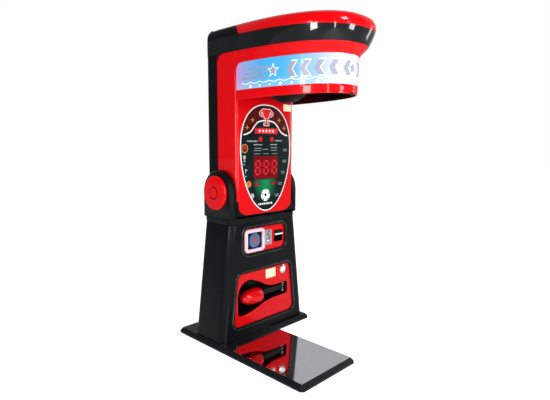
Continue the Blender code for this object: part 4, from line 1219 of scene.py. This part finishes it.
def pedestal():
    """The tapered casing and its collar, with soft front corners."""
    low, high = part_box("pedestal_casing")
    top_half = casing_half(high.z)
    rows = [(low.z, 0), (low.z + 0.004, 0)] + [(low.z + (high.z - low.z) * k / 6, 0) for k in range(1, 6)]
    rows += [(high.z - 0.005, 0), (high.z - 0.0025, 0.0007), (high.z - 0.0008, 0.0024), (high.z, 0.005),
             (high.z, 0.008), (low.z, 0.008)]
    loops = [lift(offset(rounded((-casing_half(z), casing_half(z)), (low.y, high.y), CASING_CORNER, 14),
                         inset), "Z", z)
             for z, inset in rows]
    casing = skin("pedestal_shell", loops, "grain", "root", replaced=("pedestal_casing",), closed=True)
    span = (low.y - 0.02, low.y + 0.02)
    rear = (high.y - 0.02, high.y + 0.02)
    kick, coin = window_outlines()
    hatch = inside("service_door", -0.0015, 0.001, 1)
    plug = inside("power_inlet", 0.006, 0.001, 1)
    carve(casing, (kick, *span), (coin, *span), (hatch, *rear), (plug, *rear))
    start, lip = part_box("yoke_collar")[0].z, LIP
    rows = [(start, 0.003), (start + 0.0008, 0.0014), (start + 0.003, 0), (lip - 0.002, 0), (lip, 0.002),
            (lip, 0.006),
            (start, 0.006)]
    loops = [lift(offset(rounded((-top_half - 0.10 * (z - start), top_half + 0.10 * (z - start)),
                                 (low.y, high.y),
                                 CASING_CORNER, 14), inset), "Z", z) for z, inset in rows]
    collar = skin("collar_shell", loops, "grain", "root", replaced=("yoke_collar",), closed=True)
    gate = rounded((-HALF + 0.008, HALF - 0.008), (lip - 0.015, lip + 0.055), 0.002, 1)
    carve(collar, (gate, high.y - 0.05, high.y + 0.04))


def window_rims():
    """Beads round the two windows in the pedestal's front."""
    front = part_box("pedestal_casing")[0].y
    for name, outline in zip(("kick_rim", "control_rim"), window_outlines()):
        rim(name, offset(outline, -0.010), front, 0.014, 0.0045)


def yoke():
    """The two arms beside the column's heel."""
    low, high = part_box("yoke_arm_right")
    radius = high.y
    front = low.y
    foot = low.z - 0.024
    outline = ([(front, foot), (high.y, foot), (high.y, PIVOT - 0.04)] + arc((0, PIVOT), radius, 0, 163.9, 36)
               + [(front, PIVOT), (front, PIVOT - 0.06)])
    for side, sign in (("left", -1), ("right", 1)):
        name = "yoke_arm_" + side
        arm = plate(name + "_shell", outline, "X", sign * low.x, sign * high.x, 0.024, "grain", "root",
                    replaced=(name,), steps=8)
        for vertex in arm.data.vertices:
            vertex.co.z = max(vertex.co.z, low.z)
        hub_cap(side, sign)


def hub_cap(side, sign):
    """A stepped red cap with a groove in its face; the dark arc in the groove is painted shade."""
    low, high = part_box("hub_cap_" + side)
    start, end = (low.x, high.x) if sign > 0 else (high.x, low.x)
    radius = high.z - PIVOT
    deep = abs(end - start)
    profile = [(THIN, 0.0), (radius - 0.004, 0.0), (radius, 0.003), (radius, deep - 0.017)]
    profile += [(radius - 0.011 * (1 - cos(radians(a))), deep - 0.017 + 0.011 * sin(radians(a)))
                for a in (18, 36, 54, 72, 90)]
    profile += [(radius - 0.030, deep - 0.0045), (0.052, deep - 0.002), (0.0482, deep - 0.002),
                (0.0470, deep - 0.0034),
                (0.0470, deep - 0.009), (0.0380, deep - 0.009), (0.0380, deep - 0.002),
                (0.0366, deep - 0.0004),
                (0.018, deep), (THIN, deep)]
    profile = [(r, sign * h) for r, h in profile]
    turned("hub_disc_" + side, (start, 0, PIVOT), "X", profile, "red", "root", replaced=("hub_cap_" + side,),
           sides=96)
    # a dark ink arc round part of the groove: painted shade
    groove = stroke(arc((0, PIVOT), 0.0425, 60, 330, 48), 0.0075)
    inlay("hub_groove_" + side, groove, lambda a, b, out: Vector((end - sign * (0.0078 - out), a, b)), "ink",
          "root",
          0.0004)


# ---- the kicker, the controls and the small things ----------------------------------------------
def ball():
    """The kicking ball: a rounded disc behind, tapering to its nose."""
    low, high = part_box("kicker_ball")
    middle, radius = 0.5 * (low + high), 0.5 * (high.z - low.z)
    long = high.x - low.x
    marks = [(radius - 0.012, 0.0), (radius - 0.009, -0.0012), (radius - 0.0045, -0.006),
             (radius - 0.0012, -0.018),
             (radius - 0.0002, -0.036), (radius - 0.0002, -0.056), (radius - 0.0014, -0.080),
             (radius - 0.0045, -0.106), (radius - 0.0110, -0.134), (radius - 0.0200, -0.156),
             (radius - 0.0310, -0.173), (radius - 0.0430, -0.183), (radius - 0.0510, -0.1862)]
    curve = [(r, h * long / 0.187) for r, h in smooth(marks, 4, closed=False)]
    profile = [(0.0006, 0.0)] + curve + [(0.0006, -long)]
    turned("kick_ball_cover", (high.x, middle.y, middle.z), "X", profile, "ball", "kicker",
           replaced=("kicker_ball",), sides=72)


def kick_panel():
    """The pressed ridge under the recess and the slot's bolts."""
    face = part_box("kicker_panel")[0].y
    hinge = JOINT["kicker_swing"]["pos_m"]
    marks = [(-0.452, -0.148), (-0.372, -0.142), (-0.290, -0.118), (-0.225, -0.094), (-0.150, -0.080),
             (-0.070, -0.074)]
    line = smooth([(hinge[0] + x, face - 0.0002, hinge[2] + z) for x, z in marks], 6, closed=False)
    tube("kick_ridge", line, 0.0032, "red", "root", sides=10)
    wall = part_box("kicker_bracket")
    for i, z in enumerate((0.026, 0.012, -0.012, -0.026)):
        place = (0.5 * (wall[0].x + wall[1].x) - (0.004 if i % 2 else 0.0), wall[0].y, hinge[2] + z)
        turned("slot_bolt_" + str(i), place, "Y", [(THIN, 0.003), (0.0056, 0.003), (0.0056, -0.0005),
                                                   (0.0044, -0.0020),
                                                   (THIN, -0.0024)], "chrome", "root", sides=20)


def screws():
    """Small screw heads along the tread plate's edges."""
    low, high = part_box("tread_plate")
    places = [(low.x + 0.012, low.y + (high.y - low.y) * k / 5 + (0.014 if k == 0 else 0)) for k in range(6)]
    places += [(high.x - 0.012, y) for _, y in places]
    for i, (x, y) in enumerate(places):
        y = min(y, high.y - 0.016)
        head = [(0.0004, -0.0004), (0.0040, -0.0004), (0.0038, 0.0008), (0.0024, 0.0016), (0.0004, 0.0018)]
        turned("tread_screw_" + str(i), (x, y, high.z), "Z", head, "chrome", "root", sides=16)


def return_flap():
    """The smoked flap of the return cup and its lip, whose glowing white is a painted highlight."""
    low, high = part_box("return_flap")
    leaf = rounded((low.x + 0.0015, high.x - 0.0015), (low.z + 0.003, high.z - 0.0015), 0.002, 4)
    plate("flap_leaf", leaf, "Y", high.y - 0.0012, high.y - 0.0032, 0.0005, "smooth", "flap",
          ("return_flap",))
    # the lip glows white: a painted highlight of a bright strip
    lip = rounded((low.x + 0.0015, high.x - 0.0015), (low.z, low.z + 0.0075), 0.002, 4)
    plate("flap_lip", lip, "Y", high.y - 0.0032, low.y, 0.0018, "white_lit", "flap",
          ("return_flap",))


def coin_marks():
    """Plain dark blocks on the coin plate, where a real plate has its symbols."""
    low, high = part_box("coin_plate")
    middle = 0.5 * (low.x + high.x)
    marks = [bar(middle + 0.006, high.z - 0.012, 0.022, 0.006),
             bar(middle - 0.012, high.z - 0.036, 0.012, 0.010, 20),
             bar(middle + 0.014, high.z - 0.052, 0.012, 0.012, -15),
             bar(middle - 0.004, high.z - 0.062, 0.020, 0.006, 30),
             bar(middle + 0.012, low.z + 0.044, 0.014, 0.010, 45),
             disc(middle - 0.014, low.z + 0.038, 0.006, 16),
             bar(middle, low.z + 0.008, 0.030, 0.004)]
    inlay("coin_plate_marks", marks, on_face(low.y), "ink", "root", 0.0003)


def start_disc():
    """The start button's domed lens."""
    low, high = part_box("start_button")
    middle = 0.5 * (low + high)
    radius = 0.5 * (high.x - low.x) - 0.0015
    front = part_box("start_plate")[0].y - 0.005
    back = min(front + 0.009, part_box("control_panel")[0].y - START_TRAVEL - 0.0004)
    profile = [(THIN, back), (radius, back), (radius, front + 0.003), (radius - 0.0015, front + 0.0008),
               (radius - 0.004, front), (radius * 0.7, front - 0.0012), (radius * 0.35, front - 0.0022),
               (THIN, front - 0.0025)]
    turned("start_lens", (middle.x, 0, middle.z), "Y", profile, "swirl", "start", replaced=("start_button",),
           sides=80)


def labels():
    """Two blank paper labels."""
    face = FACE - 0.0002
    inlay("column_label", [rounded((0.178, 0.262), (1.654, 1.703), 0.004, 3)], on_face(face), "label", "head",
          0.0003)
    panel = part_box("kicker_panel")[0].y
    inlay("kick_label", [rounded((0.012, 0.114), (0.411, 0.479), 0.004, 3)], on_face(panel), "label", "root",
          0.0004)


# ---- the punch bag ------------------------------------------------------------------------------
def punch_bag():
    """The stuffed bag: its cover swells under pressure, then takes piping and seams."""
    low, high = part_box("punch_bag")
    middle = 0.5 * (low + high)
    source = frame["nodes"]["punch_bag"]
    mesh = source.data.copy()
    bag = bpy.data.objects.new("bag_cover", mesh)
    bpy.context.scene.collection.objects.link(bag)
    for vert in mesh.vertices:
        vert.co = middle + (vert.co - middle) * 0.975
    remesh = bag.modifiers.new("remesh", "REMESH")
    remesh.mode = "VOXEL"
    remesh.voxel_size = 0.006
    remesh.use_smooth_shade = True
    settle(bag)
    rest = [v.co.copy() for v in bag.data.vertices]
    swell(bag, rest)
    bag.data.materials.clear()
    bag.data.materials.append(LOOKS["leather"].made)
    smoothing = bag.modifiers.new("smooth", "SUBSURF")
    smoothing.levels = smoothing.render_levels = 1
    settle(bag)
    bag.data.shade_smooth()
    for vert in bag.data.vertices:
        vert.co = Vector(min(max(c, a), b) for c, a, b in zip(vert.co, low, high))
    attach(bag, "bag")
    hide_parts("punch_bag")
    bag_seams(bag, middle, low, high)


def swell(bag, rest):
    cloth = bag.modifiers.new("cloth", "CLOTH")
    cloth.settings.quality = 6
    cloth.settings.mass = 0.3
    cloth.settings.tension_stiffness = 30
    cloth.settings.compression_stiffness = 30
    cloth.settings.bending_stiffness = 4
    cloth.settings.use_pressure = True
    cloth.settings.uniform_pressure_force = 4
    cloth.settings.effector_weights.gravity = 0
    for moment in range(1, 21):
        bpy.context.scene.frame_set(moment)
    settle(bag)
    bpy.context.scene.frame_set(1)
    for vert, start in zip(bag.data.vertices, rest):
        move = vert.co - start
        if move.length > 0.003:
            vert.co = start + move * (0.003 / move.length)


def bag_seams(bag, middle, low, high):
    """Piping where the side panels meet the ends, and two long seams."""
    tree = BVHTree.FromObject(bag, bpy.context.evaluated_depsgraph_get())
    radius = 0.5 * (high.x - low.x)

    def surface(point, towards):
        hit, normal, _, _ = tree.ray_cast(point + towards * radius * 1.6, -towards)
        return hit + normal * 0.0002 if hit else point

    for label, share in (("front", 0.14), ("back", 0.80)):
        y = low.y + (high.y - low.y) * share
        ring = []
        for i in range(64):
            a = 2 * pi * i / 64
            ring.append(surface(Vector((middle.x, y, middle.z)), Vector((cos(a), 0, sin(a)))))
        tube("bag_piping_" + label, ring, 0.0022, "leather", "bag", closed=True)
    for label, a in (("left", pi), ("right", 0.0)):
        towards = Vector((cos(a), 0, sin(a)))
        line = [surface(Vector((middle.x, low.y + (high.y - low.y) * (0.16 + 0.62 * i / 20), middle.z)),
                        towards)
                for i in range(21)]
        tube("bag_seam_" + label, line, 0.0016, "leather", "bag")


# ---- what stays as drawn ------------------------------------------------------------------------
LOOK_OF_SLOT = {
    "red_gloss_plastic": "red", "red_gloss_panel": "red", "black_shell": "grain",
    "black_metal": "black_metal",
    "mirror_steel": "mirror", "chrome": "chrome", "zinc_steel": "zinc", "case_aluminium": "aluminium",
    "circuit_board": "board", "sign_print": "sign", "lamp_diffuser": "lamp", "display_print": "display",
    "display_outline": "white", "led_red": "led", "button_red": "button", "button_white": "white_lit",
    "button_swirl": "swirl", "bezel_pale": "bezel", "bag_leather": "leather", "ball_red": "ball"}


def dress_frame():
    """Gives every node its procedural material."""
    for name, node in frame["nodes"].items():
        node.data.materials.clear()
        node.data.materials.append(LOOKS[LOOK_OF_SLOT[SLOT[name]]].made)


# ---- light, floor and camera --------------------------------------------------------------------
def lamp(name, place, aim, size, power):
    """A rectangular lamp at a place, turned to its aim."""
    light = bpy.data.lights.new(name, "AREA")
    light.shape = "RECTANGLE"
    light.size, light.size_y = size
    light.energy = power
    made = bpy.data.objects.new(name, light)
    made.location = place
    made.rotation_euler = (Vector(aim) - Vector(place)).to_track_quat("-Z", "Y").to_euler()
    bpy.context.scene.collection.objects.link(made)


def floor():
    """A white floor that lights the object only a little."""
    mesh = bpy.data.meshes.new("floor")
    bm = bmesh.new()
    bmesh.ops.create_grid(bm, x_segments=2, y_segments=2, size=30)
    bm.to_mesh(mesh)
    bm.free()
    made = bpy.data.objects.new("floor", mesh)
    look = Look("floor_white", 0.6, spec=0.1)
    look.mottled((0.93, 0.93, 0.93), 0.004, 0.5)
    look.glow(look.seen_only((0.86, 0.86, 0.86), (0.10, 0.10, 0.10)), 1.0)
    mesh.materials.append(look.made)
    bpy.context.scene.collection.objects.link(made)
    made.location.z = -0.0005


def world():
    """White to the camera, and a grey that is paler behind the object to all that it lights."""
    made = bpy.data.worlds.new("studio")
    bpy.context.scene.world = made
    made.use_nodes = True
    made.node_tree.nodes.clear()
    sky = Nodes(made.node_tree)
    behind = sky.node("ShaderNodeVectorMath", operation="DOT_PRODUCT")
    behind.inputs[1].default_value = (0.66, 0.66, 0.36)
    sky.link(sky.node("ShaderNodeTexCoord").outputs["Generated"], behind.inputs[0])
    shade = sky.ramp(behind.outputs["Value"], (0.30, (0.17, 0.175, 0.18)), (0.85, (0.66, 0.66, 0.68)))
    soft, seen = sky.node("ShaderNodeBackground"), sky.node("ShaderNodeBackground")
    sky.link(shade, soft.inputs["Color"])
    seen.inputs["Color"].default_value = (1, 1, 1, 1)
    mixer = sky.node("ShaderNodeMixShader")
    sky.link(sky.node("ShaderNodeLightPath").outputs["Is Camera Ray"], mixer.inputs["Fac"])
    sky.link(soft.outputs["Background"], mixer.inputs[1])
    sky.link(seen.outputs["Background"], mixer.inputs[2])
    sky.link(mixer.outputs["Shader"], sky.node("ShaderNodeOutputWorld").inputs["Surface"])


def studio():
    """The floor, the world and the lamps."""
    floor()
    world()
    lamp("key", (-0.5, -2.5, 3.1), (-0.1, -0.3, 0.8), (0.5, 0.5), 30)
    lamp("left_window", (-3.2, -1.00, 1.38), (-0.26, -0.80, 2.08), (0.60, 0.9), 44)
    lamp("front_window", (0.36, -3.80, 1.15), (-0.12, -0.96, 2.09), (0.9, 0.8), 42)
    lamp("left_strip", (-3.2, -0.62, 2.10), (-0.22, -0.69, 1.83), (0.35, 0.45), 12)
    lamp("front_strip", (-0.36, -3.85, 2.00), (-0.09, -0.87, 1.79), (0.6, 0.45), 14)
    lamp("edge_strip", (-2.6, -3.5, 1.2), (-0.26, -0.15, 0.6), (0.25, 2.0), 26)
    lamp("right_fill", (3.4, -2.4, 2.0), (0, -0.3, 1.0), (0.5, 2.2), 20)


def camera():
    """The camera that was fitted to the photo."""
    data = bpy.data.cameras.new("camera")
    data.lens = 29.85
    data.sensor_width = 36
    made = bpy.data.objects.new("camera", data)
    turn = (Matrix.Rotation(radians(-45.646), 4, "Z") @ Matrix.Rotation(radians(90 - 6.997), 4, "X")
            @ Matrix.Rotation(radians(0.205), 4, "Z"))
    made.matrix_world = Matrix.Translation((-2.316, -2.511, 1.412)) @ turn
    bpy.context.scene.collection.objects.link(made)
    bpy.context.scene.camera = made


bpy.context.scene.view_settings.view_transform = "Standard"
dress_frame()
column_red()
head_shell()
sign_graphics()
display()
toe_trim()
pedestal()
yoke()
window_rims()
kick_panel()
screws()
ball()
start_disc()
return_flap()
coin_marks()
labels()
punch_bag()
studio()
camera()
